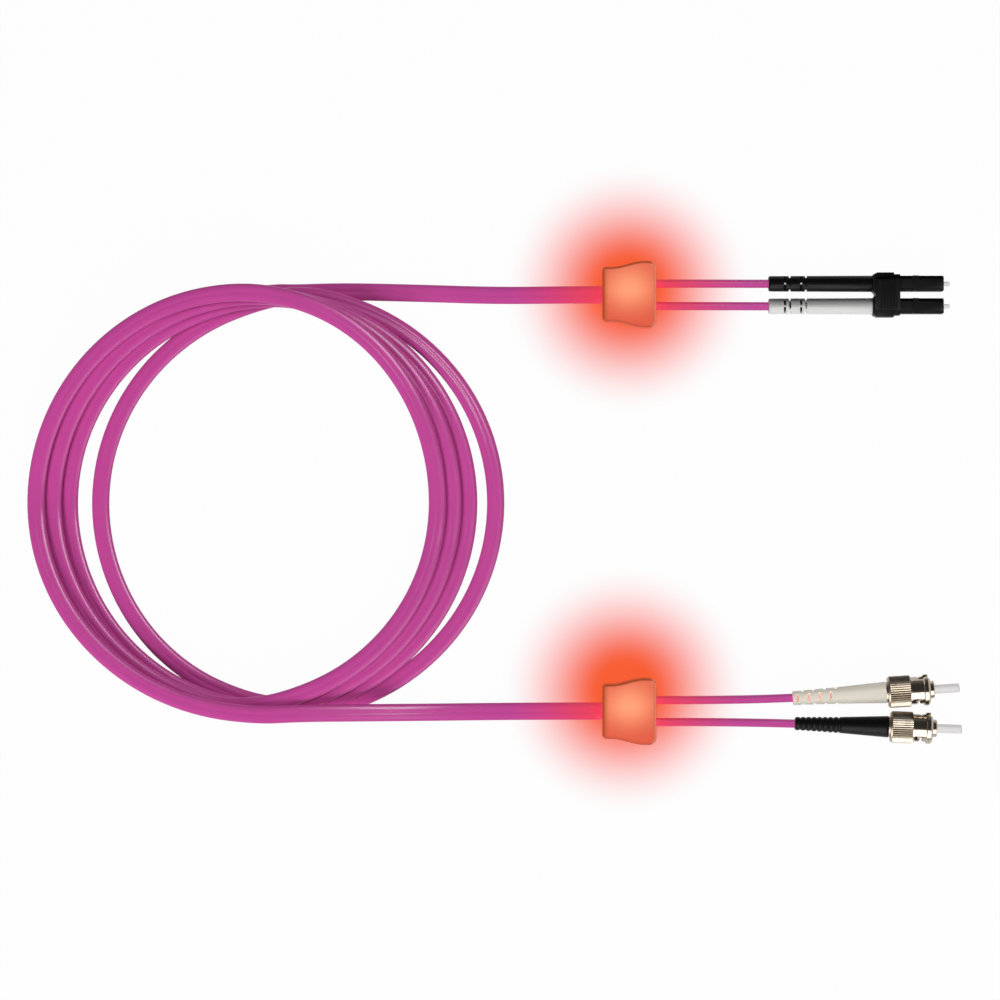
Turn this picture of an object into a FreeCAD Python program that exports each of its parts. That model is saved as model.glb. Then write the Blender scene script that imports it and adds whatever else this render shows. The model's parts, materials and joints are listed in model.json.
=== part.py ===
import FreeCAD, Part
import math
import os
from FreeCAD import Placement, Rotation, Vector

os.makedirs("parts", exist_ok=True)

# Duplex fibre patch cord, coiled, with a lit splitter, a latched duplex plug and two bayonet plugs.
# Millimetres. +Z is up from the surface that the cord lies on, and the plugs point along +X.

# Fits
SLIP = 0.05  # between faces that slide or only just clear
CORD_FIT = 0.08  # round a cord in a port or a boot
CRIMP_FIT = 0.05  # round a crimp sleeve in a boot

# Cord
CORD_D = 2.35
CORD_WEB = 0.05
TWIN_W = 2 * CORD_D + CORD_WEB
FIBRE_D = 0.9
FIBRE_BORE_D = 1.2
CORD_SIDES = 12
BOOT_SIDES = 24
NUT_SIDES = 36
INNER_SIDES = 16  # of pieces that are out of sight
FIBRE_SIDES = 8
BEND_SHARE = 0.45  # of the shorter run, taken up by a bend
SPRING_STEPS = 12  # straight lengths in a spring's turn
RAMP_STEPS = 5

# Lie of the two ends
END_Y = 57.8
SPLIT_X = -49.95
PLUG_X = 44.9
PLUG_Z = 3.05
BAYONET_Z = 4.45
BAYONET_A_X = 42.24  # nose of the upper bayonet plug
BAYONET_A_Y = -51.75
BAYONET_A_TURN = 3.6  # degrees about Z
BAYONET_B_X = 42.92
BAYONET_B_Y = -62.59
BAYONET_B_TURN = -2.0
BAYONET_A = (BAYONET_A_X, BAYONET_A_Y, BAYONET_A_TURN)
BAYONET_B = (BAYONET_B_X, BAYONET_B_Y, BAYONET_B_TURN)

# Coil: a turn's left and right centre lines, and half its height in Y
COIL_LEFT_FIRST = -206.9
COIL_LEFT_THIRD = -197.3
COIL_LEFT_LAST = -189.2
COIL_RIGHT_FIRST = -95.5
COIL_RIGHT_THIRD = -85.9
COIL_RIGHT_LAST = -79.4
COIL_REACH_Y = 57.8
COIL_LAYERS = 5
COIL_LEFT_MID_X = -147.8
COIL_FULL_Y = 50.0  # the stack has its full height beyond this Y
COIL_HALF_Y = 25.0
COIL_HALF_SHARE = 0.78
COIL_LOW_LAYERS = 2

# Splitter
SPLIT_LEN = 15.0
SPLIT_REAR_W = 15.2
SPLIT_FRONT_W = 18.5
SPLIT_T = 8.4
SPLIT_WALL = 1.2
SPLIT_EDGE = 0.9
SPLIT_REAR_R = 1.05
SPLIT_FRONT_R = 2.1
REAR_STRAIGHT = 1.55  # of a side, from the rear corner to the curve
FRONT_STRAIGHT = 1.3  # of a side, from the curve to the front corner
OGEE_START = SPLIT_REAR_R + REAR_STRAIGHT
OGEE_END = SPLIT_LEN - SPLIT_FRONT_R - FRONT_STRAIGHT
LEG_PITCH = 6.25
PART_PAST = 0.1  # from the inside of the rear wall to where the twin cord parts
PART_RUN = 4.25  # that the two halves still lie together
PART_SHORT = 2.95  # of the front, where the two halves are a leg pitch apart
LC_LEG_OUT = 9.95  # from a splitter's front to a leg's next bend
ST_LEG_OUT = 10.55
ST_LEG_SPREAD = 3.0
ST_LEG_Z = 4.1
BOARD_LEN = 7.6
BOARD_W = 10.4
BOARD_T = 0.8
BOARD_Z = 5.8
LAMP_LEN = 2.0
LAMP_W = 1.3
POST_LEN = 2.4
POST_W = 1.2

# Duplex plug, from its front face back
LC_PITCH = 6.25
LC_BODY = 4.3
LC_REAR = -16.5
LC_MOUTH_R = 1.65
LC_MOUTH_DEPTH = 5.0
LC_STOP_R = 1.25
LC_STOP_LEN = 1.2
LC_CHAMBER_R = 1.6
LC_EDGE = 0.3
LC_FERRULE_R = 0.625
LC_FERRULE_SEAT_R = 0.5
LC_FERRULE_TIP = 1.78
LC_FERRULE_IN = 1.4
LC_TIP_CHAMFER = 0.15
LC_FLANGE_R = 1.5
LC_FLANGE_LEN = 2.0
LC_FLANGE_TAIL_R = 0.9
LC_FLANGE_TAIL_LEN = 2.3
LC_SPRING_WIRE = 0.3
LC_SPRING_R = 1.28
LC_SPRING_TURNS = 4.0
LC_SEAT_X = -12.5
LC_COLLAR = 4.1
LC_COLLAR_REAR = -19.6
LC_TAIL_R = 1.45
LC_TAIL_REAR = -31.6
LC_TRAVEL = 1.0
LC_CRIMP_WALL = 0.32
LC_CRIMP_FRONT = -23.0
LC_CRIMP_REAR = -33.0
LC_BOOT_FRONT = -19.75
LC_BOOT_REAR = -48.6
LC_BOOT_FRONT_R = 2.28
LC_BOOT_REAR_R = 2.16
LC_BOOT_WINDOWS = (-44.1, -39.6)
LC_BOOT_NOTCHES = (-42.7, -38.2)
LC_SLOT_W = 0.55
LC_WINDOW_MID = 38.0  # degrees round from straight up or down
LC_WINDOW_SWEEP = 52.0
LC_NOTCH_SWEEP = 84.0

# Latch arm, from the duplex plug's own axis
LATCH_ROOT_X = -1.2
LATCH_ROOT_Z = 2.62
LATCH_T = 0.8
LATCH_TAIL_X = -14.2
LATCH_RISE = 0.115
LATCH_W = 2.5
LATCH_WING_FRONT = -7.1
LATCH_WING_REAR = -8.8
LATCH_WING_UP = 0.35
ROOT_FRONT = -0.35

# Duplex clip and its trigger
CLIP_REAR = -19.1
CLIP_FRONT = -12.2
CLIP_STEP_X = -13.9
CLIP_SIDE = 0.9
CLIP_STEP = 0.5
CLIP_FLOOR = 0.85
CLIP_ROOF = 0.6
CLIP_COLLAR_LEN = 0.6
CLIP_COLLAR_CUT = 0.6
CLIP_NOTCH_R = 1.2
TRIGGER_X = -18.5
TRIGGER_Z = 3.5
TRIGGER_FRONT = -12.45
TRIGGER_HALF_W = 4.2
TRIGGER_T = 0.7
TRIGGER_SLOPE = 0.335
RIB_FIRST_X = -17.3
RIB_STEP = 0.8
RIB_COUNT = 5
RIB_W = 0.35
RIB_H = 0.28

# Bayonet plug, from the front of its nose back
ST_FERRULE_R = 1.25
ST_FERRULE_SEAT_R = 1.0
ST_FERRULE_TIP = 7.0
ST_FERRULE_IN = 8.0
ST_TIP_CHAMFER = 0.25
ST_NOSE_R = 2.45
ST_NOSE_CHAMFER = 0.25
ST_BARREL_REAR = -14.3
ST_FLANGE_FRONT = -4.6
ST_FLANGE_LEN = 0.8
ST_FLANGE_R = 3.25
ST_KEY_W = 1.0
ST_KEY_H = 0.75
ST_KEY_FRONT = -1.6
ST_TAIL_R = 1.45
ST_TAIL_REAR = -23.5
ST_NUT_FRONT = -1.3
ST_NUT_REAR = -12.85
ST_KNURL_FRONT = -6.6
ST_KNURL_R = 4.375
ST_KNURL_DEPTH = 0.22
ST_KNURL_TEETH = 44
ST_KNURL_LAND = 0.4
ST_SLEEVE_R = 3.85
ST_SLEEVE_IN_R = 3.45
ST_BEAD_REAR = -3.1
ST_BEAD_R = 4.37
ST_BEAD_EDGE = 0.55
ST_LIP_LEN = 1.2
ST_WASHER_T = 0.4
ST_WASHER_R = 3.35
ST_SPRING_WIRE = 0.45
ST_SPRING_R = 2.95
ST_SPRING_TURNS = 4.0
ST_RING_R = 2.85
ST_RING_T = 0.5
ST_CRIMP_WALL = 0.32
ST_CRIMP_FRONT = -15.0
ST_CRIMP_REAR = -25.0
ST_BOOT_REAR = -39.4
ST_BOOT_FRONT_R = 3.0
ST_BOOT_WAIST_X = -27.0
ST_BOOT_WAIST_R = 2.3
ST_BOOT_REAR_R = 1.92
ST_SLOT_W = 1.5
ST_SLOT_FROM = 68.0  # degrees from straight up towards +Y
ST_SLOT_SWEEP = 60.0
ST_SLOT_MOUTH_X = -3.7
ST_SLOT_LOCK_X = -5.3
ST_LOCK_R = 1.1
ST_BOOT_WINDOWS = 4
ST_BOOT_WINDOW_W = 0.6
ST_WINDOW_SHARE = 0.42  # of a step, to the middle of a window, a notch or a groove
ST_NOTCH_SHARE = 0.92
ST_RIB_SHARE = 0.75
ST_WINDOW_SWEEP = 75.0
ST_NOTCH_SWEEP = 64.0
ST_BOOT_RIBS = 7
ST_BOOT_RIB_W = 0.5
ST_BOOT_RIB_DEPTH = 0.22

CORD_R = CORD_D / 2
HALF_PITCH = LC_PITCH / 2
SPLIT_MID = SPLIT_T / 2
X_AXIS = Vector(1, 0, 0)
Y_AXIS = Vector(0, 1, 0)
Z_AXIS = Vector(0, 0, 1)
SIDES = (90, -90)  # degrees round from straight up
TURN_HALF = 180  # degrees
TOP_AND_UNDER = (0, TURN_HALF)
PAST = 1.0  # how far a cutting tool runs past the face that it opens

nodes = {}


def rod(r, x0, x1):
    return Part.makeCylinder(r, x1 - x0, Vector(x0, 0, 0), X_AXIS)


def block(x0, x1, y0, y1, z0, z1):
    return Part.makeBox(x1 - x0, y1 - y0, z1 - z0, Vector(x0, y0, z0))


def flat_face(points):
    return Part.Face(Part.makePolygon(points + points[:1]))


def closed_solid(faces):
    solid = Part.Solid(Part.Shell(faces))
    if solid.Volume < 0:
        solid.reverse()
    return solid


def turned(outline):
    return flat_face([Vector(x, 0, r) for x, r in outline]).revolve(Vector(0, 0, 0), X_AXIS, 360)


def many_sided(outline, sides):
    """As turned, but with flat sides. Radii are to the corners."""

    def corner(x, r, k):
        turn = 2 * math.pi * (k + 0.5) / sides
        return Vector(x, r * math.sin(turn), r * math.cos(turn))

    faces = []
    for (x0, r0), (x1, r1) in zip(outline, outline[1:] + outline[:1]):
        for k in range(sides):
            ring = [corner(x0, r0, k), corner(x1, r1, k), corner(x1, r1, k + 1), corner(x0, r0, k + 1)]
            if r0 == 0:
                ring = ring[:3]
            if r1 == 0:
                ring = [ring[0], ring[1], ring[-1]]
            if r0 > 0 or r1 > 0:
                faces.append(flat_face(ring))
    return closed_solid(faces).removeSplitter()


def rod_outline(r, x0, x1):
    return [(x0, 0), (x0, r), (x1, r), (x1, 0)]


def tube_outline(r_in, r_out, x0, x1):
    return [(x0, r_in), (x0, r_out), (x1, r_out), (x1, r_in)]


def round_in(r, sides):
    """Corner radius of a many-sided hole that a round of radius r just enters."""
    return r / math.cos(math.pi / sides)


def profile_xz(outline, y0, y1):
    return flat_face([Vector(x, y0, z) for x, z in outline]).extrude(Vector(0, y1 - y0, 0))


def put(shape, x, y, z, turn=0.0):
    moved = shape.copy()
    moved.Placement = Placement(Vector(x, y, z), Rotation(Z_AXIS, turn)).multiply(moved.Placement)
    return moved


def bar_through(rings):
    """Solid bar with flat faces through a row of flat sections."""
    faces = [flat_face(rings[0]), flat_face(rings[-1])]
    for ring, after in zip(rings, rings[1:]):
        for k in range(len(ring)):
            faces.append(flat_face([ring[k], after[k], after[k - 1]]))
            faces.append(flat_face([ring[k], after[k - 1], ring[k - 1]]))
    return closed_solid(faces)


def coil_spring(wire_d, mean_r, turns, x0, x1):
    """Square-wire coil along X, made of flat faces."""
    steps = round(turns * SPRING_STEPS)
    half = wire_d / 2
    rings = []
    for n in range(steps + 1):
        turn = 2 * math.pi * n / SPRING_STEPS
        mid = x0 + half + (x1 - x0 - wire_d) * n / steps
        ring = []
        for along, out in ((-1, -1), (1, -1), (1, 1), (-1, 1)):
            r = mean_r + out * half
            ring.append(Vector(mid + along * half, r * math.cos(turn), r * math.sin(turn)))
        rings.append(ring)
    return bar_through(rings)


# Cords


def section_wire(at, half_flat, r):
    if half_flat == 0:
        return Part.Wire(Part.makeCircle(r, at, X_AXIS))
    low_left = at + Vector(0, -half_flat, -r)
    low_right = at + Vector(0, half_flat, -r)
    top_right = at + Vector(0, half_flat, r)
    top_left = at + Vector(0, -half_flat, r)
    return Part.Wire([
        Part.LineSegment(low_left, low_right).toShape(),
        Part.Arc(low_right, at + Vector(0, half_flat + r, 0), top_right).toShape(),
        Part.LineSegment(top_right, top_left).toShape(),
        Part.Arc(top_left, at + Vector(0, -half_flat - r, 0), low_left).toShape(),
    ])


def section_face(at, half_flat):
    """Many-sided section of a cord, wider by half_flat on each side where two cords run as one."""
    corners = []
    for n in range(CORD_SIDES):
        turn = 2 * math.pi * (n + 0.5) / CORD_SIDES
        across = CORD_R * math.cos(turn)
        corners.append(at + Vector(0, across + math.copysign(half_flat, across), CORD_R * math.sin(turn)))
    return flat_face(corners)


def cord_tube(name, route, half_flat=0.0):
    """Straight runs and tangent arcs along a route that starts along X."""
    points = [Vector(*p) for p in route]
    face = section_face(points[0], half_flat)
    area = face.Area
    start = points[0]
    pieces = []
    radii = []
    length = 0.0
    for before, corner, after in zip(points, points[1:], points[2:]):
        back = before - corner
        ahead = after - corner
        trim = BEND_SHARE * min(back.Length, ahead.Length)
        back.normalize()
        ahead.normalize()
        turn = math.pi - back.getAngle(ahead)
        radius = trim / math.tan(turn / 2)
        axis = ahead.cross(back)
        axis.normalize()
        inward = back + ahead
        inward.normalize()
        centre = corner + inward * (radius / math.cos(turn / 2))
        run = corner + back * trim - start
        pieces.append(face.extrude(run))
        face.translate(run)
        pieces.append(face.revolve(centre, axis, math.degrees(turn)))
        face.rotate(centre, axis, math.degrees(turn))
        start = corner + ahead * trim
        length += run.Length + radius * turn
        radii.append(radius)
    run = points[-1] - start
    pieces.append(face.extrude(run))
    length += run.Length
    tube = pieces[0].multiFuse(pieces[1:]).Solids[0]
    runs = [round((b - a).Length, 1) for a, b in zip(points, points[1:])]
    share = tube.Volume / (area * length)
    print(name, "radii", [round(r, 1) for r in radii], "runs", runs, "volume share", round(share, 3))
    nodes[name] = tube


TWIN_FLAT = TWIN_W / 2 - CORD_R
CORD_PART_X = SPLIT_X + SPLIT_WALL + PART_PAST  # where the twin cord parts inside a splitter
SPLIT_NOSE_X = SPLIT_X + SPLIT_LEN
LEAD_LC = [
    (CORD_PART_X, END_Y, SPLIT_MID),
    (-60.0, END_Y, SPLIT_MID),
    (-79.0, 57.9, 1.2),
    (-101.0, 58.4, 1.2),
    (-122.0, 58.3, 1.2),
    (-136.0, 57.9, 1.2),
]
LEAD_ST = [
    (CORD_PART_X, -END_Y, SPLIT_MID),
    (-60.0, -END_Y, SPLIT_MID),
    (-77.0, -57.7, 1.6),
    (-97.0, -57.5, 2.4),
    (-116.0, -57.4, 7.6),
    (-134.0, -57.6, 10.4),
]
cord_tube("trunk_lead_lc", LEAD_LC, TWIN_FLAT)
cord_tube("trunk_lead_st", LEAD_ST, TWIN_FLAT)


def bayonet_point(lie, x, z):
    turn = math.radians(lie[2])
    return (lie[0] + x * math.cos(turn), lie[1] + x * math.sin(turn), z)


def parting(side, end_y):
    near = end_y + side * (CORD_R + CORD_WEB / 2)
    return [
        (CORD_PART_X, near, SPLIT_MID),
        (CORD_PART_X + PART_RUN, near, SPLIT_MID),
        (SPLIT_NOSE_X - PART_SHORT, end_y + side * LEG_PITCH / 2, SPLIT_MID),
    ]


LEG_LEAD_IN = 2.0  # from a leg's last bend to its boot
for channel, side in (("a", 1), ("b", -1)):
    plug_y = END_Y + side * HALF_PITCH
    cord_tube("leg_lc_" + channel, parting(side, END_Y) + [
        (SPLIT_NOSE_X + LC_LEG_OUT, END_Y + side * LEG_PITCH / 2, SPLIT_MID),
        (PLUG_X + LC_BOOT_REAR - LEG_LEAD_IN, plug_y, PLUG_Z),
        (PLUG_X + LC_TAIL_REAR, plug_y, PLUG_Z),
    ])
for channel, side, lie in (("a", 1, BAYONET_A), ("b", -1, BAYONET_B)):
    cord_tube("leg_st_" + channel, parting(side, -END_Y) + [
        (SPLIT_NOSE_X + ST_LEG_OUT, -END_Y + side * ST_LEG_SPREAD, ST_LEG_Z),
        bayonet_point(lie, ST_BOOT_REAR - LEG_LEAD_IN, BAYONET_Z),
        bayonet_point(lie, ST_TAIL_REAR, BAYONET_Z),
    ])


def oval(left, right, half_y, grow, z0, z1):
    """Upright oval block round a turn whose centre line runs from left to right."""
    mid = (left + right) / 2
    across = (right - left) / 2 + grow
    up = half_y + grow
    centre = Vector(mid, 0, z0)
    side = Vector(mid + across, 0, z0)
    top = Vector(mid, up, z0)
    curve = Part.Ellipse(side, top, centre) if across > up else Part.Ellipse(top, side, centre)
    return Part.Face(Part.Wire(curve.toShape())).extrude(Vector(0, 0, z1 - z0))


COIL_TOP = COIL_LAYERS * CORD_D + SLIP
HALF_TWIN = TWIN_W / 2
first = (COIL_LEFT_FIRST, COIL_RIGHT_FIRST, COIL_REACH_Y)
third = (COIL_LEFT_THIRD, COIL_RIGHT_THIRD, COIL_REACH_Y)
last = (COIL_LEFT_LAST, COIL_RIGHT_LAST, COIL_REACH_Y)
last_mid = (COIL_LEFT_LAST + COIL_RIGHT_LAST) / 2
left_wide = (COIL_LEFT_FIRST, 2 * COIL_LEFT_MID_X - COIL_LEFT_FIRST, COIL_REACH_Y)
strip_y = COIL_REACH_Y + HALF_TWIN
strip = block(COIL_LEFT_MID_X, last_mid, -strip_y, strip_y, 0, COIL_TOP)
left_block = oval(*left_wide, HALF_TWIN, 0, COIL_TOP)
left_block = left_block.cut(block(COIL_LEFT_MID_X, 0, -2 * strip_y, 2 * strip_y, -PAST, COIL_TOP + PAST))
right_block = oval(*last, HALF_TWIN, 0, COIL_TOP)
right_block = right_block.cut(block(2 * COIL_LEFT_FIRST, last_mid, -2 * strip_y, 2 * strip_y, -PAST, COIL_TOP + PAST))
ring = left_block.fuse(strip).fuse(right_block)
eye = oval(*last, -HALF_TWIN, -PAST, COIL_TOP + PAST).common(oval(*first, -HALF_TWIN, -PAST, COIL_TOP + PAST))
left_gap = oval(*third, -HALF_TWIN, -PAST, COIL_TOP + PAST).cut(
    oval(*last, HALF_TWIN, -2 * PAST, COIL_TOP + 2 * PAST)
)
right_gap = oval(*last, -HALF_TWIN, -PAST, COIL_TOP + PAST).cut(
    oval(*third, HALF_TWIN, -2 * PAST, COIL_TOP + 2 * PAST)
)
ring = ring.cut(eye).cut(left_gap).cut(right_gap)
low = COIL_LOW_LAYERS * CORD_D
half_high = COIL_TOP * COIL_HALF_SHARE
side_line = [
    (-2 * strip_y, 0),
    (2 * strip_y, 0),
    (2 * strip_y, COIL_TOP),
    (COIL_FULL_Y, COIL_TOP),
    (COIL_HALF_Y, half_high),
    (0, low),
    (-COIL_HALF_Y, half_high),
    (-COIL_FULL_Y, COIL_TOP),
    (-2 * strip_y, COIL_TOP),
]
side_points = [Vector(2 * COIL_LEFT_FIRST, y, z) for y, z in side_line]
side_face = Part.Face(Part.makePolygon(side_points + side_points[:1]))
nodes["trunk_coil"] = ring.common(side_face.extrude(Vector(-2 * COIL_LEFT_FIRST, 0, 0))).removeSplitter()


# Splitters


def splitter_outline(grow):
    """Closed outline in plan, rear face at x = 0, moved out by grow."""
    rear = -grow
    front = SPLIT_LEN + grow
    rear_y = SPLIT_REAR_W / 2 + grow
    front_y = SPLIT_FRONT_W / 2 + grow
    rear_r = max(SPLIT_REAR_R + grow, 0.3)
    front_r = max(SPLIT_FRONT_R + grow, 0.3)
    span = OGEE_END - OGEE_START
    rise = front_y - rear_y
    bend = (span**2 + rise**2) / (4 * rise)
    half = math.asin(span / 2 / bend) / 2
    diag = math.sqrt(0.5)

    def upper(x, y, s):
        return Vector(x, s * y, 0)

    edges = []
    for s in (1, -1):
        mid = upper((OGEE_START + OGEE_END) / 2, (rear_y + front_y) / 2, s)
        first_mid = upper(OGEE_START + bend * math.sin(half), rear_y + bend * (1 - math.cos(half)), s)
        second_mid = upper(OGEE_END - bend * math.sin(half), front_y - bend * (1 - math.cos(half)), s)
        corner = upper(rear + rear_r * (1 - diag), rear_y - rear_r * (1 - diag), s)
        nose = upper(front - front_r * (1 - diag), front_y - front_r * (1 - diag), s)
        edges.append(Part.Arc(upper(rear, rear_y - rear_r, s), corner, upper(rear + rear_r, rear_y, s)))
        edges.append(Part.LineSegment(upper(rear + rear_r, rear_y, s), upper(OGEE_START, rear_y, s)))
        edges.append(Part.Arc(upper(OGEE_START, rear_y, s), first_mid, mid))
        edges.append(Part.Arc(mid, second_mid, upper(OGEE_END, front_y, s)))
        edges.append(Part.LineSegment(upper(OGEE_END, front_y, s), upper(front - front_r, front_y, s)))
        edges.append(Part.Arc(upper(front - front_r, front_y, s), nose, upper(front, front_y - front_r, s)))
    edges.append(Part.LineSegment(upper(rear, rear_y - rear_r, 1), upper(rear, rear_y - rear_r, -1)))
    edges.append(Part.LineSegment(upper(front, front_y - front_r, 1), upper(front, front_y - front_r, -1)))
    return Part.Wire(Part.__sortEdges__([e.toShape() for e in edges]))


def splitter_parts():
    solid = Part.Face(splitter_outline(0.0)).extrude(Vector(0, 0, SPLIT_T))
    rims = [e for e in solid.Edges if abs(e.BoundBox.ZLength) < SLIP / 10]
    solid = solid.makeChamfer(SPLIT_EDGE, rims)
    rear_y = SPLIT_REAR_W / 2 - SPLIT_WALL
    front_y = SPLIT_FRONT_W / 2 - SPLIT_WALL
    room = [(SPLIT_WALL, rear_y), (OGEE_START, rear_y), (OGEE_END, front_y), (SPLIT_LEN - SPLIT_WALL, front_y)]
    room += [(x, -y) for x, y in reversed(room)]
    hollow = flat_face([Vector(x, y, SPLIT_WALL) for x, y in room]).extrude(Vector(0, 0, SPLIT_T - 2 * SPLIT_WALL))
    solid = solid.cut(hollow)
    port_r = CORD_R + CORD_FIT
    port = Part.Face(section_wire(Vector(-PAST, 0, SPLIT_MID), TWIN_FLAT, port_r))
    solid = solid.cut(port.extrude(Vector(SPLIT_WALL + 2 * PAST, 0, 0)))
    for side in (1, -1):
        hole = rod(port_r, SPLIT_LEN - SPLIT_WALL - PAST, SPLIT_LEN + PAST)
        solid = solid.cut(put(hole, 0, side * LEG_PITCH / 2, SPLIT_MID))
    reach = SPLIT_FRONT_W
    lower = solid.common(block(-PAST, SPLIT_LEN + PAST, -reach, reach, 0, SPLIT_MID))
    upper = solid.common(block(-PAST, SPLIT_LEN + PAST, -reach, reach, SPLIT_MID, SPLIT_T))
    board_x = (SPLIT_LEN - BOARD_LEN) / 2
    post_x = (SPLIT_LEN - POST_LEN) / 2
    board_top = BOARD_Z + BOARD_T
    for side in (1, -1):
        inner = side * (BOARD_W / 2 - POST_W)
        outer = side * BOARD_W / 2
        y0, y1 = min(inner, outer), max(inner, outer)
        lower = lower.fuse(block(post_x, post_x + POST_LEN, y0, y1, SPLIT_WALL, BOARD_Z))
        upper = upper.fuse(block(post_x, post_x + POST_LEN, y0, y1, board_top, SPLIT_T - SPLIT_WALL))
    board = block(board_x, board_x + BOARD_LEN, -BOARD_W / 2, BOARD_W / 2, BOARD_Z, board_top)
    lamp_x = (SPLIT_LEN - LAMP_LEN) / 2
    lamp_top = SPLIT_T - SPLIT_WALL - SLIP
    lamp = block(lamp_x, lamp_x + LAMP_LEN, -LAMP_W / 2, LAMP_W / 2, board_top, lamp_top)
    return {"upper": upper.removeSplitter(), "lower": lower.removeSplitter(), "board": board, "lamp": lamp}


splitter = splitter_parts()
for end, end_y in (("lc", END_Y), ("st", -END_Y)):
    for piece, shape in splitter.items():
        nodes["splitter_" + end + "_" + piece] = put(shape, SPLIT_X, end_y, 0)


# Duplex plug


def open_wall(boot, x, width, mids, sweep):
    """Cut openings through a boot's wall, each centred some degrees round from straight up."""
    outer = ST_BOOT_FRONT_R + PAST
    corners = [
        Vector(x - width / 2, 0, CORD_R),
        Vector(x + width / 2, 0, CORD_R),
        Vector(x + width / 2, 0, outer),
        Vector(x - width / 2, 0, outer),
    ]
    for mid in mids:
        tool = flat_face(corners).revolve(Vector(0, 0, 0), X_AXIS, sweep)
        tool.rotate(Vector(0, 0, 0), X_AXIS, mid - sweep / 2)
        boot = boot.cut(tool)
    return boot


def lc_parts():
    half = LC_BODY / 2
    stop_rear = -LC_MOUTH_DEPTH - LC_STOP_LEN
    flange_front = stop_rear - SLIP / 2
    flange_rear = flange_front - LC_FLANGE_LEN
    ferrule_rear = flange_front - LC_FERRULE_IN
    flange_end = flange_rear - LC_FLANGE_TAIL_LEN
    bore_r = FIBRE_BORE_D / 2
    cord_bore = CORD_R + CORD_FIT
    crimp_in = LC_TAIL_R + SLIP
    crimp_out = crimp_in + LC_CRIMP_WALL
    out = {}
    ferrule = turned([
        (flange_front, 0),
        (flange_front, LC_FERRULE_R),
        (LC_FERRULE_TIP - LC_TIP_CHAMFER, LC_FERRULE_R),
        (LC_FERRULE_TIP, LC_FERRULE_R - LC_TIP_CHAMFER),
        (LC_FERRULE_TIP, 0),
    ])
    seat_r = LC_FERRULE_SEAT_R
    seat = many_sided(rod_outline(seat_r, ferrule_rear, flange_front), INNER_SIDES)
    out["ferrule"] = ferrule.fuse(seat).removeSplitter()
    fibre_r = round_in(FIBRE_D / 2, INNER_SIDES)
    out["flange"] = many_sided([
        (flange_front, seat_r),
        (flange_front, LC_FLANGE_R),
        (flange_rear, LC_FLANGE_R),
        (flange_rear, LC_FLANGE_TAIL_R),
        (flange_end, LC_FLANGE_TAIL_R),
        (flange_end, fibre_r),
        (ferrule_rear, fibre_r),
        (ferrule_rear, seat_r),
    ], INNER_SIDES)
    fibre_end = LC_TAIL_REAR + LC_TRAVEL + LC_EDGE
    out["fibre"] = many_sided(rod_outline(FIBRE_D / 2, fibre_end, ferrule_rear), FIBRE_SIDES)
    housing = block(LC_REAR, 0, -half, half, -half, half)
    rims = [e for e in housing.Edges if e.BoundBox.XMin > -SLIP]
    housing = housing.makeChamfer(LC_EDGE, rims)
    root = block(LATCH_ROOT_X, ROOT_FRONT, -LATCH_W / 2, LATCH_W / 2, half, LATCH_ROOT_Z + LATCH_T / 2)
    housing = housing.fuse(root)
    hinge_start = Vector(LATCH_ROOT_X, -half, LATCH_ROOT_Z)
    housing = housing.cut(Part.makeCylinder(LATCH_T / 2 + SLIP, LC_BODY, hinge_start, Y_AXIS))
    housing = housing.cut(rod(LC_MOUTH_R, -LC_MOUTH_DEPTH, PAST))
    housing = housing.cut(rod(LC_STOP_R, stop_rear - PAST, 0))
    housing = housing.cut(rod(LC_CHAMBER_R, LC_REAR - PAST, stop_rear))
    out["housing"] = housing.removeSplitter()
    out["latch"] = latch_arm()
    out["spring"] = coil_spring(
        LC_SPRING_WIRE, LC_SPRING_R, LC_SPRING_TURNS, LC_SEAT_X + SLIP / 2, flange_rear - SLIP / 2
    )
    rear = many_sided([
        (LC_SEAT_X, LC_FLANGE_TAIL_R + SLIP),
        (LC_SEAT_X, LC_CHAMBER_R),
        (LC_COLLAR_REAR, LC_CHAMBER_R),
        (LC_COLLAR_REAR, LC_TAIL_R),
        (LC_TAIL_REAR, LC_TAIL_R),
        (LC_TAIL_REAR, bore_r),
        (LC_REAR, bore_r),
        (LC_REAR, LC_FLANGE_TAIL_R + SLIP),
    ], INNER_SIDES)
    collar_half = LC_COLLAR / 2
    collar = block(LC_COLLAR_REAR, LC_REAR, -collar_half, collar_half, -collar_half, collar_half)
    hollow = many_sided(rod_outline(LC_CHAMBER_R, LC_COLLAR_REAR - PAST, LC_REAR + PAST), INNER_SIDES)
    out["rear_body"] = rear.fuse(collar.cut(hollow)).removeSplitter()
    out["crimp"] = many_sided(tube_outline(crimp_in, crimp_out, LC_CRIMP_REAR, LC_CRIMP_FRONT), INNER_SIDES)
    boot = many_sided([
        (LC_BOOT_FRONT, crimp_out + CRIMP_FIT),
        (LC_BOOT_FRONT, LC_BOOT_FRONT_R),
        (LC_BOOT_REAR + LC_EDGE, LC_BOOT_REAR_R),
        (LC_BOOT_REAR, LC_BOOT_REAR_R - LC_EDGE),
        (LC_BOOT_REAR, cord_bore),
        (LC_CRIMP_REAR - SLIP, cord_bore),
        (LC_CRIMP_REAR - SLIP, crimp_out + CRIMP_FIT),
    ], BOOT_SIDES)
    window = LC_WINDOW_MID
    for x in LC_BOOT_WINDOWS:
        mids = (window, -window, TURN_HALF - window, TURN_HALF + window)
        boot = open_wall(boot, x, LC_SLOT_W, mids, LC_WINDOW_SWEEP)
    for x in LC_BOOT_NOTCHES:
        boot = open_wall(boot, x, LC_SLOT_W, SIDES, LC_NOTCH_SWEEP)
    out["boot"] = boot
    return out


def latch_line(x):
    """Underside of the latch arm at x."""
    return LATCH_ROOT_Z - LATCH_T / 2 + LATCH_RISE * (LATCH_ROOT_X - x)


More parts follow.
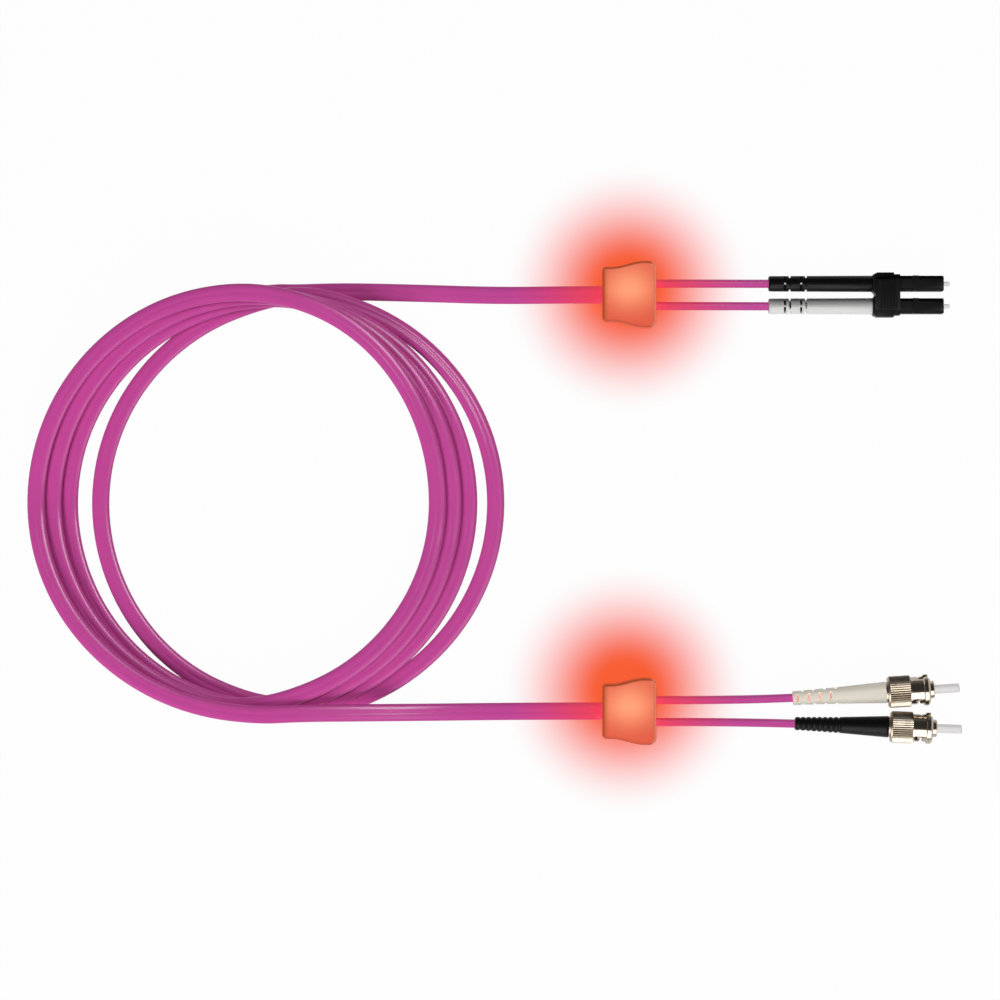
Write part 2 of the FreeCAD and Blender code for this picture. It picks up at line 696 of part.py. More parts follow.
def latch_arm():
    arm = profile_xz([
        (LATCH_ROOT_X, latch_line(LATCH_ROOT_X)),
        (LATCH_ROOT_X, latch_line(LATCH_ROOT_X) + LATCH_T),
        (LATCH_TAIL_X, latch_line(LATCH_TAIL_X) + LATCH_T),
        (LATCH_TAIL_X, latch_line(LATCH_TAIL_X)),
    ], -LATCH_W / 2, LATCH_W / 2)
    wing = profile_xz([
        (LATCH_WING_FRONT, latch_line(LATCH_WING_FRONT)),
        (LATCH_WING_FRONT, latch_line(LATCH_WING_FRONT) + LATCH_T),
        (LATCH_WING_REAR, latch_line(LATCH_WING_REAR) + LATCH_T + LATCH_WING_UP),
        (LATCH_WING_REAR, latch_line(LATCH_WING_REAR)),
    ], -LC_BODY / 2, LC_BODY / 2)
    knuckle_start = Vector(LATCH_ROOT_X, -LATCH_W / 2, LATCH_ROOT_Z)
    knuckle = Part.makeCylinder(LATCH_T / 2, LATCH_W, knuckle_start, Y_AXIS)
    return arm.fuse(wing).fuse(knuckle).removeSplitter()


def clip_parts():
    half = LC_BODY / 2
    wide = HALF_PITCH + half + CLIP_SIDE
    low_z = -half - CLIP_FLOOR - SLIP
    top_z = half + SLIP + CLIP_ROOF
    narrow = wide - CLIP_STEP
    clip = block(CLIP_REAR, CLIP_STEP_X, -wide, wide, low_z, top_z)
    clip = clip.fuse(block(CLIP_STEP_X, CLIP_FRONT, -narrow, narrow, low_z, top_z)).removeSplitter()
    edges = [e for e in clip.Edges if e.BoundBox.XMax < CLIP_REAR + SLIP and e.BoundBox.YLength < SLIP]
    clip = clip.makeChamfer(CLIP_STEP, edges)
    collar_half = half + SLIP + CLIP_SIDE - LC_EDGE
    for side in (1, -1):
        collar = block(CLIP_REAR - CLIP_COLLAR_LEN, CLIP_REAR + PAST, -collar_half, collar_half, low_z, top_z)
        ends = [e for e in collar.Edges if e.BoundBox.XMax < CLIP_REAR and e.BoundBox.YLength < SLIP]
        collar = collar.makeChamfer(CLIP_COLLAR_CUT - SLIP, ends)
        clip = clip.fuse(put(collar, 0, side * HALF_PITCH, 0))
    channel = half + SLIP
    for side in (1, -1):
        mid = side * HALF_PITCH
        tool = block(CLIP_REAR - 2 * PAST, CLIP_FRONT + PAST, mid - channel, mid + channel, -channel, channel)
        clip = clip.cut(tool)
    notch = Part.makeCylinder(CLIP_NOTCH_R, top_z - low_z + 2 * PAST, Vector(CLIP_FRONT, 0, low_z - PAST), Z_AXIS)
    notch_x = CLIP_FRONT + CLIP_NOTCH_R - CLIP_STEP - LC_EDGE
    notch.translate(Vector(notch_x - CLIP_FRONT, 0, 0))
    clip = clip.cut(notch)
    seat_half = TRIGGER_T / 2 + SLIP
    seat = block(CLIP_REAR, TRIGGER_X, -TRIGGER_HALF_W, TRIGGER_HALF_W, top_z, TRIGGER_Z + TRIGGER_T / 2)
    pivot_start = Vector(TRIGGER_X, -TRIGGER_HALF_W - PAST, TRIGGER_Z)
    seat = seat.cut(Part.makeCylinder(seat_half, 2 * TRIGGER_HALF_W + 2 * PAST, pivot_start, Y_AXIS))
    clip = clip.fuse(seat).removeSplitter()

    def under(x):
        return TRIGGER_Z - TRIGGER_T / 2 + TRIGGER_SLOPE * (x - TRIGGER_X)

    trigger = profile_xz([
        (TRIGGER_X, under(TRIGGER_X)),
        (TRIGGER_FRONT, under(TRIGGER_FRONT)),
        (TRIGGER_FRONT, under(TRIGGER_FRONT) + TRIGGER_T),
        (TRIGGER_X, under(TRIGGER_X) + TRIGGER_T),
    ], -TRIGGER_HALF_W, TRIGGER_HALF_W)
    knuckle_start = Vector(TRIGGER_X, -TRIGGER_HALF_W, TRIGGER_Z)
    trigger = trigger.fuse(Part.makeCylinder(TRIGGER_T / 2, 2 * TRIGGER_HALF_W, knuckle_start, Y_AXIS))
    for n in range(RIB_COUNT):
        x = RIB_FIRST_X + n * RIB_STEP
        rib = profile_xz([
            (x, under(x) + TRIGGER_T - SLIP),
            (x + RIB_W, under(x + RIB_W) + TRIGGER_T - SLIP),
            (x + RIB_W, under(x + RIB_W) + TRIGGER_T + RIB_H),
            (x, under(x) + TRIGGER_T + RIB_H),
        ], -TRIGGER_HALF_W + RIB_W, TRIGGER_HALF_W - RIB_W)
        trigger = trigger.fuse(rib)
    return clip, trigger.removeSplitter()


plug = lc_parts()
for channel, side in (("a", 1), ("b", -1)):
    for piece, shape in plug.items():
        nodes["lc_" + channel + "_" + piece] = put(shape, PLUG_X, END_Y + side * HALF_PITCH, PLUG_Z)
clip_shape, trigger_shape = clip_parts()
nodes["lc_clip"] = put(clip_shape, PLUG_X, END_Y, PLUG_Z)
nodes["lc_trigger"] = put(trigger_shape, PLUG_X, END_Y, PLUG_Z)


# Bayonet plugs


def knurl():
    """Straight-knurled ring block with a plain land at each end, before it is bored."""
    rear = ST_NUT_REAR + ST_KNURL_LAND
    front = ST_KNURL_FRONT - ST_KNURL_LAND / 2
    points = []
    for n in range(2 * ST_KNURL_TEETH):
        turn = math.pi * n / ST_KNURL_TEETH
        r = ST_KNURL_R - (n % 2) * ST_KNURL_DEPTH
        points.append(Vector(rear, r * math.cos(turn), r * math.sin(turn)))
    teeth = flat_face(points).extrude(Vector(front - rear, 0, 0))
    land_r = ST_KNURL_R - ST_KNURL_DEPTH - SLIP
    return teeth.fuse(many_sided(rod_outline(land_r, ST_NUT_REAR, ST_KNURL_FRONT), NUT_SIDES))


def bayonet_slot():
    """Cutter for one ramp slot: mouth at the front, helical ramp, round lock at its end."""
    rise = ST_SLOT_MOUTH_X - ST_SLOT_LOCK_X
    mid_r = (ST_SLEEVE_R + ST_SLEEVE_IN_R) / 2
    deep = ST_BEAD_R - ST_SLEEVE_IN_R
    half = ST_SLOT_W / 2
    rings = []
    for n in range(RAMP_STEPS + 1):
        share = n / RAMP_STEPS
        turn = math.radians(ST_SLOT_SWEEP * share)
        ring = []
        for up, out in ((-1, -1), (-1, 1), (1, 1), (1, -1)):
            r = mid_r + out * deep
            ring.append(Vector(r * math.cos(turn), r * math.sin(turn), rise * share + up * half))
        rings.append(ring)
    ramp = bar_through(rings)
    mouth = Part.makeBox(2 * deep, ST_SLOT_W, ST_NUT_FRONT + PAST - ST_SLOT_MOUTH_X + half)
    mouth.translate(Vector(mid_r - deep, -half, ST_SLOT_MOUTH_X - ST_NUT_FRONT - PAST))
    lock = many_sided(rod_outline(ST_LOCK_R, mid_r - deep, mid_r + deep), INNER_SIDES)
    lock.Placement = Placement(Vector(0, 0, rise), Rotation(Z_AXIS, ST_SLOT_SWEEP)).multiply(lock.Placement)
    tools = []
    for tool in (ramp, mouth, lock):
        back = Placement(Vector(ST_SLOT_MOUTH_X, 0, 0), Rotation(Y_AXIS, -90))
        about = Placement(Vector(0, 0, 0), Rotation(X_AXIS, -ST_SLOT_FROM))
        tool.Placement = about.multiply(back).multiply(tool.Placement)
        tools.append(tool)
    return tools


def st_parts():
    bore_r = FIBRE_BORE_D / 2
    flange_rear = ST_FLANGE_FRONT - ST_FLANGE_LEN
    lip_front = ST_NUT_REAR + ST_LIP_LEN
    washer_rear = lip_front + SLIP
    washer_front = washer_rear + ST_WASHER_T
    ring_front = ST_NUT_REAR - SLIP
    ring_rear = ring_front - ST_RING_T
    lip_r = ST_NOSE_R + 2 * SLIP
    crimp_in = ST_TAIL_R + SLIP
    crimp_out = crimp_in + ST_CRIMP_WALL
    cord_bore = CORD_R + CORD_FIT
    out = {}
    out["ferrule"] = turned([
        (-ST_FERRULE_IN, 0),
        (-ST_FERRULE_IN, ST_FERRULE_SEAT_R),
        (0, ST_FERRULE_SEAT_R),
        (0, ST_FERRULE_R),
        (ST_FERRULE_TIP - ST_TIP_CHAMFER, ST_FERRULE_R),
        (ST_FERRULE_TIP, ST_FERRULE_R - ST_TIP_CHAMFER),
        (ST_FERRULE_TIP, 0),
    ])
    seat_r = round_in(ST_FERRULE_SEAT_R, BOOT_SIDES)
    barrel = many_sided([
        (0, seat_r),
        (0, ST_NOSE_R - ST_NOSE_CHAMFER),
        (-ST_NOSE_CHAMFER, ST_NOSE_R),
        (ST_FLANGE_FRONT, ST_NOSE_R),
        (ST_FLANGE_FRONT, ST_FLANGE_R),
        (flange_rear, ST_FLANGE_R),
        (flange_rear, ST_NOSE_R),
        (ST_BARREL_REAR, ST_NOSE_R),
        (ST_BARREL_REAR, ST_TAIL_R),
        (ST_TAIL_REAR, ST_TAIL_R),
        (ST_TAIL_REAR, bore_r),
        (-ST_FERRULE_IN, bore_r),
        (-ST_FERRULE_IN, seat_r),
    ], BOOT_SIDES)
    key = block(ST_FLANGE_FRONT, ST_KEY_FRONT, -ST_KEY_W / 2, ST_KEY_W / 2, 0, ST_NOSE_R + ST_KEY_H)
    core = many_sided(rod_outline(ST_NOSE_R - SLIP, ST_FLANGE_FRONT - PAST, ST_KEY_FRONT + PAST), BOOT_SIDES)
    key = key.cut(core)
    out["barrel"] = barrel.fuse(key).removeSplitter()
    out["fibre"] = many_sided(rod_outline(FIBRE_D / 2, ST_TAIL_REAR, -ST_FERRULE_IN), FIBRE_SIDES)
    out["washer"] = many_sided(tube_outline(lip_r, ST_WASHER_R, washer_rear, washer_front), INNER_SIDES)
    out["spring"] = coil_spring(
        ST_SPRING_WIRE, ST_SPRING_R, ST_SPRING_TURNS, washer_front + SLIP / 2, flange_rear - SLIP / 2
    )
    out["ring"] = many_sided(tube_outline(ST_NOSE_R, ST_RING_R, ring_rear, ring_front), BOOT_SIDES)
    out["crimp"] = many_sided(tube_outline(crimp_in, crimp_out, ST_CRIMP_REAR, ST_CRIMP_FRONT), INNER_SIDES)
    nut = knurl().fuse(many_sided([
        (ST_KNURL_FRONT - SLIP, 0),
        (ST_KNURL_FRONT - SLIP, ST_SLEEVE_R),
        (ST_BEAD_REAR, ST_SLEEVE_R),
        (ST_BEAD_REAR, ST_BEAD_R - ST_BEAD_EDGE / 2),
        (ST_BEAD_REAR + ST_BEAD_EDGE / 2, ST_BEAD_R),
        (ST_NUT_FRONT - ST_BEAD_EDGE, ST_BEAD_R),
        (ST_NUT_FRONT, ST_BEAD_R - ST_BEAD_EDGE),
        (ST_NUT_FRONT, 0),
    ], NUT_SIDES))
    sleeve_r = round_in(ST_SLEEVE_IN_R, NUT_SIDES)
    nut = nut.cut(many_sided(rod_outline(sleeve_r, lip_front, ST_NUT_FRONT + PAST), NUT_SIDES))
    lip_bore = rod_outline(round_in(lip_r, NUT_SIDES), ST_NUT_REAR - PAST, lip_front + PAST)
    nut = nut.cut(many_sided(lip_bore, NUT_SIDES))
    for turn in TOP_AND_UNDER:
        for tool in bayonet_slot():
            tool.Placement = Placement(Vector(0, 0, 0), Rotation(X_AXIS, turn)).multiply(tool.Placement)
            nut = nut.cut(tool)
    out["nut"] = nut.removeSplitter()
    boot_front = ring_rear - SLIP
    front_bore = ST_NOSE_R + SLIP
    boot_bore = crimp_out + CRIMP_FIT
    boot = many_sided([
        (boot_front, front_bore),
        (boot_front, ST_BOOT_FRONT_R),
        (ST_BOOT_WAIST_X, ST_BOOT_WAIST_R),
        (ST_BOOT_REAR + LC_EDGE, ST_BOOT_REAR_R),
        (ST_BOOT_REAR, ST_BOOT_REAR_R - LC_EDGE),
        (ST_BOOT_REAR, cord_bore),
        (ST_CRIMP_REAR - SLIP, cord_bore),
        (ST_CRIMP_REAR - SLIP, boot_bore),
        (ST_BARREL_REAR - SLIP, boot_bore),
        (ST_BARREL_REAR - SLIP, front_bore),
    ], BOOT_SIDES)
    out["boot"] = boot
    return out


def windowed(boot):
    """Slotted bend relief: side notches and top windows take turns along the boot's tail."""
    step = (ST_BOOT_WAIST_X - ST_BOOT_REAR) / ST_BOOT_WINDOWS
    for n in range(ST_BOOT_WINDOWS):
        window_x = ST_BOOT_REAR + (n + ST_WINDOW_SHARE) * step
        notch_x = ST_BOOT_REAR + (n + ST_NOTCH_SHARE) * step
        boot = open_wall(boot, window_x, ST_BOOT_WINDOW_W, TOP_AND_UNDER, ST_WINDOW_SWEEP)
        boot = open_wall(boot, notch_x, ST_BOOT_WINDOW_W, SIDES, ST_NOTCH_SWEEP)
    return boot


def ribbed(boot):
    """Ringed bend relief: grooves right round the boot's tail, every other one opened at its sides."""
    step = (ST_BOOT_WAIST_X - ST_BOOT_REAR) / ST_BOOT_RIBS
    slope = (ST_BOOT_WAIST_R - ST_BOOT_REAR_R) / (ST_BOOT_WAIST_X - ST_BOOT_REAR)
    for n in range(ST_BOOT_RIBS):
        x = ST_BOOT_REAR + (n + ST_RIB_SHARE) * step
        outer = ST_BOOT_REAR_R + slope * (x - ST_BOOT_REAR)
        groove = many_sided([
            (x - ST_BOOT_RIB_W / 2, outer + PAST),
            (x - ST_BOOT_RIB_W / 2, outer),
            (x, outer - ST_BOOT_RIB_DEPTH),
            (x + ST_BOOT_RIB_W / 2, outer),
            (x + ST_BOOT_RIB_W / 2, outer + PAST),
        ], BOOT_SIDES)
        boot = boot.cut(groove)
        if n % 2 == 0:
            boot = open_wall(boot, x, ST_BOOT_RIB_W / 2, TOP_AND_UNDER, ST_WINDOW_SWEEP)
    return boot


bayonet = st_parts()
for channel, lie in (("a", BAYONET_A), ("b", BAYONET_B)):
    for piece, shape in bayonet.items():
        if piece == "boot":
            shape = windowed(shape) if channel == "a" else ribbed(shape)
        nodes["st_" + channel + "_" + piece] = put(shape, lie[0], lie[1], BAYONET_Z, lie[2])

for name, shape in nodes.items():
    shape.exportStep("parts/" + name + ".step")
print(len(nodes), "nodes")
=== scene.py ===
import json
import math

import bpy
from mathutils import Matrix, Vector

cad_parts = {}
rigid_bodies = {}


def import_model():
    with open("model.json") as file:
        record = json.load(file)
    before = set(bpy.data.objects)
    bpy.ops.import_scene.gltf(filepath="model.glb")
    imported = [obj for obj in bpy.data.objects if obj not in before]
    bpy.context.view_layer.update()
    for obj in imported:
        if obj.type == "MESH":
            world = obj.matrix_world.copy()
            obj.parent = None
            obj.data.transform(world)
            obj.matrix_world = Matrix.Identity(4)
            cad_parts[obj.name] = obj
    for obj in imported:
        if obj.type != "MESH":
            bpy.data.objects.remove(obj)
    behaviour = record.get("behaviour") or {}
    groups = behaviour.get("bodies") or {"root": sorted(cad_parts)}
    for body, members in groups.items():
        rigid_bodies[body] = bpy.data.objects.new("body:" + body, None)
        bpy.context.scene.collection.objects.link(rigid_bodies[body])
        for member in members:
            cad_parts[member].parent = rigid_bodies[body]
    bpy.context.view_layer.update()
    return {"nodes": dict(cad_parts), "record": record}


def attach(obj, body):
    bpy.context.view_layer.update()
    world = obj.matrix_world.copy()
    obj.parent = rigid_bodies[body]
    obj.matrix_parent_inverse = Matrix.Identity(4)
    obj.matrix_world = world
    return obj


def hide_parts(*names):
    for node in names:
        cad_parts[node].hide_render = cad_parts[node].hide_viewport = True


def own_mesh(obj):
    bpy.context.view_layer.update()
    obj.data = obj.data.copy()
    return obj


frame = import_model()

# Sizes and places are in millimetres, which MM brings to metres; those of the lamps and of the floor, and the
# lengths of the cords, are in metres
MM = 0.001
UP = Vector((0, 0, 1))
QUARTER = math.pi / 2
ROUND = 2 * math.pi
nodes = frame["nodes"]
collection = bpy.context.scene.collection
bpy.context.scene.view_settings.view_transform = "Standard"

# Camera: a long lens straight above, the picture taken as 1000 by 1000
PICTURE = 1000
PIXELS_PER_MM = 3.6
VIEW_X = -78.3
VIEW_Y = 0.83
VIEW_Z = 4.0
LENS = 150
SENSOR = 36
FAR_CLIP = 20

camera_data = bpy.data.cameras.new("camera")
camera_data.lens = LENS
camera_data.sensor_width = SENSOR
camera_data.clip_end = FAR_CLIP
camera = bpy.data.objects.new("camera", camera_data)
reach = PICTURE / PIXELS_PER_MM * LENS / SENSOR
camera.location = (VIEW_X * MM, VIEW_Y * MM, (VIEW_Z + reach) * MM)
collection.objects.link(camera)
bpy.context.scene.camera = camera

# Lie of the two ends, as in the part's source
END_Y = 57.8
SPLIT_X = -49.95
SPLIT_LEN = 15.0
SPLIT_T = 8.4
SPLIT_MID = SPLIT_T / 2
LEG_PITCH = 6.25  # of the legs at a splitter and of the two channels of the duplex plug
PLUG_X = 44.9
PLUG_Z = 3.05
BAYONET_Z = 4.45
BAYONET = {"a": (42.24, -51.75, 3.6), "b": (42.92, -62.59, -2.0)}  # x, y and turn in degrees
SIDES = {"a": 1, "b": -1}  # of the middle of an end, on which each channel lies
PLUG_AXIS = (1, 0, 0)  # of the duplex plug
GLOW = {"lc": (-42.5, 59.6), "st": (-43.3, -52.2)}  # middle of the red light of each splitter
GLOW_CORE = 6.9
GLOW_REACH = 35.5


def duplex_place(channel):
    return Vector((PLUG_X, END_Y + SIDES[channel] * LEG_PITCH / 2, PLUG_Z))


def bayonet_place(channel):
    """Place and axis of a bayonet plug."""
    x, y, turn = BAYONET[channel]
    angle = math.radians(turn)
    return Vector((x, y, BAYONET_Z)), (math.cos(angle), math.sin(angle), 0)


# Node helpers

NOISE_LOW = 0.3  # most of a noise lies between these
NOISE_HIGH = 0.7
MIX_FIRST = 6  # colour sockets of the mix node
MIX_SECOND = 7
MIX_RESULT = 2


def start_material(name):
    material = bpy.data.materials.new(name)
    material.use_nodes = True
    tree = material.node_tree
    return material, tree, tree.nodes["Principled BSDF"]


def add(tree, kind, **settings):
    node = tree.nodes.new(kind)
    for key, value in settings.items():
        setattr(node, key, value)
    return node


def joined(tree, operation, first, second):
    """Two factors brought together by a math node."""
    node = add(tree, "ShaderNodeMath", operation=operation)
    tree.links.new(first, node.inputs[0])
    tree.links.new(second, node.inputs[1])
    return node.outputs["Value"]


def place_noise(tree, scale, detail):
    """Noise over the part's own metres."""
    coords = add(tree, "ShaderNodeTexCoord")
    noise = add(tree, "ShaderNodeTexNoise")
    noise.inputs["Scale"].default_value = scale
    noise.inputs["Detail"].default_value = detail
    tree.links.new(coords.outputs["Object"], noise.inputs["Vector"])
    return noise.outputs["Fac"]


def between(tree, factor, low, high, low_in=NOISE_LOW, high_in=NOISE_HIGH, smooth=False):
    """A factor brought from the range low_in to high_in to the range low to high."""
    node = add(tree, "ShaderNodeMapRange")
    if smooth:
        node.interpolation_type = "SMOOTHSTEP"
    node.inputs["From Min"].default_value = low_in
    node.inputs["From Max"].default_value = high_in
    node.inputs["To Min"].default_value = low
    node.inputs["To Max"].default_value = high
    tree.links.new(factor, node.inputs["Value"])
    return node.outputs["Result"]


def colours(tree, factor, first, second):
    """A mix of two colours; either may be the output of another node."""
    node = add(tree, "ShaderNodeMix", data_type="RGBA")
    tree.links.new(factor, node.inputs["Factor"])
    for socket, colour in ((node.inputs[MIX_FIRST], first), (node.inputs[MIX_SECOND], second)):
        if isinstance(colour, tuple):
            socket.default_value = (*colour, 1)
        else:
            tree.links.new(colour, socket)
    return node.outputs[MIX_RESULT]


def shade(colour, share):
    return tuple(min(1.0, c * share) for c in colour)


def bump(tree, shader, height, strength, depth):
    node = add(tree, "ShaderNodeBump")
    node.inputs["Strength"].default_value = strength
    node.inputs["Distance"].default_value = depth * MM
    tree.links.new(height, node.inputs["Height"])
    tree.links.new(node.outputs["Normal"], shader.inputs["Normal"])


def distance_from(tree, centre):
    """Distance in metres from a point, over the part's own metres."""
    coords = add(tree, "ShaderNodeTexCoord")
    node = add(tree, "ShaderNodeVectorMath", operation="DISTANCE")
    node.inputs[1].default_value = centre
    tree.links.new(coords.outputs["Object"], node.inputs[0])
    return node.outputs["Value"]


def glow_factor(tree, height, full):
    """Share of a splitter's red light that reaches a place, for painting that light on the jacket and the
    floor.
    """
    shares = []
    for x, y in GLOW.values():
        away = distance_from(tree, (x * MM, y * MM, height * MM))
        shares.append(between(tree, away, full, 0.0, GLOW_CORE * MM, GLOW_REACH * MM, smooth=True))
    return joined(tree, "MAXIMUM", *shares)


# Materials; a noise scale counts its waves in a metre

FINE_NOISE = 900
FINE_DETAIL = 2
MOULDED_NOISE = 180
MOULDED_DETAIL = 3
MOULDED_SPREAD = 0.07
MOULDED_BUMP = 0.35


def moulded(name, colour, rough, vary=0.12, grain=0.35, depth=0.02, gloss=0.5, coat=0.0):
    """Moulded plastic or rubber: cloudy colour, fine grain, uneven gloss."""
    material, tree, shader = start_material(name)
    cloud = place_noise(tree, MOULDED_NOISE, MOULDED_DETAIL)
    fine = place_noise(tree, 1 / (grain * MM), MOULDED_DETAIL)
    paint = colours(tree, cloud, shade(colour, 1 - vary), shade(colour, 1 + vary))
    roughness = between(tree, fine, rough - MOULDED_SPREAD, rough + MOULDED_SPREAD)
    tree.links.new(paint, shader.inputs["Base Color"])
    tree.links.new(roughness, shader.inputs["Roughness"])
    bump(tree, shader, fine, MOULDED_BUMP, depth)
    shader.inputs["Specular IOR Level"].default_value = gloss
    shader.inputs["Coat Weight"].default_value = coat
    return material


PLATE_NOISE = 320
PLATE_DETAIL = 4
PLATE_SMOOTHER = 0.04
PLATE_ROUGHER = 0.05


def plated(name, colour, tarnish, rough):
    """Plated metal with faint tarnish and uneven polish."""
    material, tree, shader = start_material(name)
    cloud = place_noise(tree, PLATE_NOISE, PLATE_DETAIL)
    marks = place_noise(tree, FINE_NOISE, FINE_DETAIL)
    paint = colours(tree, between(tree, cloud, 0, 1), colour, tarnish)
    polish = between(tree, marks, rough - PLATE_SMOOTHER, rough + PLATE_ROUGHER)
    tree.links.new(paint, shader.inputs["Base Color"])
    tree.links.new(polish, shader.inputs["Roughness"])
    shader.inputs["Metallic"].default_value = 1.0
    return material


NICKEL = (0.50, 0.44, 0.37)
NICKEL_WORN = (0.40, 0.33, 0.25)
COLLAR_FRONT = 35.7
COLLAR_BLEND = 0.5
COLLAR_ROUGH = 0.4
NOSE_ROUGH = 0.16


def nickel_material():
    """Nickel plate, dull on the knurled collars and bright in front of them."""
    material, tree, shader = start_material("nickel")
    cloud = place_noise(tree, PLATE_NOISE, PLATE_DETAIL)
    coords = add(tree, "ShaderNodeTexCoord")
    parts = add(tree, "ShaderNodeSeparateXYZ")
    tree.links.new(coords.outputs["Object"], parts.inputs[0])
    rear_x = (COLLAR_FRONT - COLLAR_BLEND) * MM
    front_x = (COLLAR_FRONT + COLLAR_BLEND) * MM
    front = between(tree, parts.outputs["X"], 0.0, 1.0, rear_x, front_x)
    paint = colours(tree, between(tree, cloud, 0, 1), NICKEL, NICKEL_WORN)
    polish = between(tree, front, COLLAR_ROUGH, NOSE_ROUGH, 0.0, 1.0)
    tree.links.new(paint, shader.inputs["Base Color"])
    tree.links.new(polish, shader.inputs["Roughness"])
    shader.inputs["Metallic"].default_value = 1.0
    return material


# Jacket colours; the red colour and the glow are the splitters' red light, painted on the cord near them
JACKET = (0.62, 0.072, 0.355)
JACKET_PAINTED_RED = (0.80, 0.05, 0.085)
JACKET_PAINTED_GLOW = (0.20, 0.008, 0.012)
JACKET_NOISE = 120
JACKET_DETAIL = 3
JACKET_VARY = 0.04
JACKET_PAINTED_RED_SHARE = 0.9
JACKET_SMOOTH = 0.29
JACKET_DULL = 0.33
JACKET_GLOSS = 0.45
UNLIT = (0.0, 0.0, 0.0)


def jacket_material():
    """Satin jacket with the splitters' red light painted on it: redder and faintly glowing close to a
    splitter.
    """
    material, tree, shader = start_material("cord_jacket")
    cloud = place_noise(tree, JACKET_NOISE, JACKET_DETAIL)
    plain = colours(tree, cloud, shade(JACKET, 1 - JACKET_VARY), shade(JACKET, 1 + JACKET_VARY))
    # Painted light: the splitter's red light is painted into the jacket's colour and glow
    lit = glow_factor(tree, SPLIT_MID, JACKET_PAINTED_RED_SHARE)
    tree.links.new(colours(tree, lit, plain, JACKET_PAINTED_RED), shader.inputs["Base Color"])
    tree.links.new(colours(tree, lit, UNLIT, JACKET_PAINTED_GLOW), shader.inputs["Emission Color"])
    shader.inputs["Emission Strength"].default_value = 1.0
    tree.links.new(between(tree, cloud, JACKET_SMOOTH, JACKET_DULL), shader.inputs["Roughness"])
    shader.inputs["Specular IOR Level"].default_value = JACKET_GLOSS
    return material


# Shell colours are painted light from the lamp inside: pale over it, deeper away from it, with painted shade
# and glint on the edge
SHELL_PALE = (0.93, 0.32, 0.17)
SHELL_DEEP = (0.66, 0.09, 0.05)
SHELL_EDGE_SHADE = (0.38, 0.066, 0.02)
SHELL_WALL_GLOW = (0.82, 0.15, 0.07)
SHELL_FOOT_SHADE = (0.52, 0.085, 0.045)
SHELL_PAINTED_GLINT = (0.72, 0.24, 0.145)
SHELL_SHADE = 2.0  # reach of the painted brown shade along the rear of the shell
SHELL_SHADE_SHARE = 0.35
CORE_UP = 0.8  # place of the painted pale glow above the middle, and its reach
CORE_NEAR = 0.5
CORE_FAR = 9.5
CORE_RIM_SHARE = 0.25
DIM_BELOW = 9.0  # reach of the painted dimmer lower side
DIM_ABOVE = 1.0
DIM_SHARE = 0.15
OUTER_RANGE = (0.15, 0.6)  # parts of the normal at which each zone of the painted shade and glint on the rounded edge begins and ends
INNER_RANGE = (0.82, 0.998)
GLINT_RANGE = (0.15, 0.6)
UNDER_RANGE = (-0.6, -0.1)
WALL_RANGE = (0.0, 0.12)
SHELL_EMISSION = 0.32
SHELL_SMOOTH = 0.16
SHELL_DULL = 0.24
SHELL_GLOSS = 0.15


def shell_material(end, middle):
    """Clear orange shell with painted light from the lamp inside, also given off as a glow: pale over the
    lamp, deeper to its rim and its lower side.
    """
    material, tree, shader = start_material("splitter_shell_" + end)
    fine = place_noise(tree, FINE_NOISE, FINE_DETAIL)
    centre = ((SPLIT_X + SPLIT_LEN / 2) * MM, (middle + CORE_UP) * MM, SPLIT_T * MM)
    away = distance_from(tree, centre)
    painted_core = between(tree, away, 1.0, CORE_RIM_SHARE, CORE_NEAR * MM, CORE_FAR * MM, smooth=True)
    coords = add(tree, "ShaderNodeTexCoord")
    place = add(tree, "ShaderNodeSeparateXYZ")
    tree.links.new(coords.outputs["Object"], place.inputs[0])
    # Painted dimming of the lower side
    foot_y = (middle - DIM_BELOW) * MM
    head_y = (middle + DIM_ABOVE) * MM
    low = between(tree, place.outputs["Y"], DIM_SHARE, 1.0, foot_y, head_y)
    face = colours(tree, joined(tree, "MULTIPLY", painted_core, low), SHELL_DEEP, SHELL_PALE)
    normal = add(tree, "ShaderNodeSeparateXYZ")
    tree.links.new(coords.outputs["Normal"], normal.inputs[0])
    # Painted shade on the rounded edge, a paler shade where it faces -y, and a painted glint where it faces
    # the front
    outer = between(tree, normal.outputs["Z"], 0.0, 1.0, *OUTER_RANGE)
    inner = between(tree, normal.outputs["Z"], 0.0, 1.0, *INNER_RANGE)
    glint_side = between(tree, normal.outputs["X"], 0.0, 1.0, *GLINT_RANGE)
    under = between(tree, normal.outputs["Y"], 1.0, 0.0, *UNDER_RANGE)
    wall = between(tree, normal.outputs["Z"], 1.0, 0.0, *WALL_RANGE)
    # Painted brown shade along the rear of the shell
    rear_x = SPLIT_X * MM
    clear_x = (SPLIT_X + SHELL_SHADE) * MM
    rear_shade = between(tree, place.outputs["X"], SHELL_SHADE_SHARE, 1.0, rear_x, clear_x, smooth=True)
    edge = colours(tree, under, SHELL_EDGE_SHADE, SHELL_FOOT_SHADE)
    ring = colours(tree, glint_side, edge, SHELL_PAINTED_GLINT)
    flat = colours(tree, rear_shade, SHELL_EDGE_SHADE, face)
    top = colours(tree, outer, edge, colours(tree, inner, ring, flat))
    lit = colours(tree, wall, top, SHELL_WALL_GLOW)
    # The painted light and shade are both the shell's colour and its glow
    tree.links.new(lit, shader.inputs["Base Color"])
    tree.links.new(lit, shader.inputs["Emission Color"])
    shader.inputs["Emission Strength"].default_value = SHELL_EMISSION
    tree.links.new(between(tree, fine, SHELL_SMOOTH, SHELL_DULL), shader.inputs["Roughness"])
    shader.inputs["Specular IOR Level"].default_value = SHELL_GLOSS
    return material


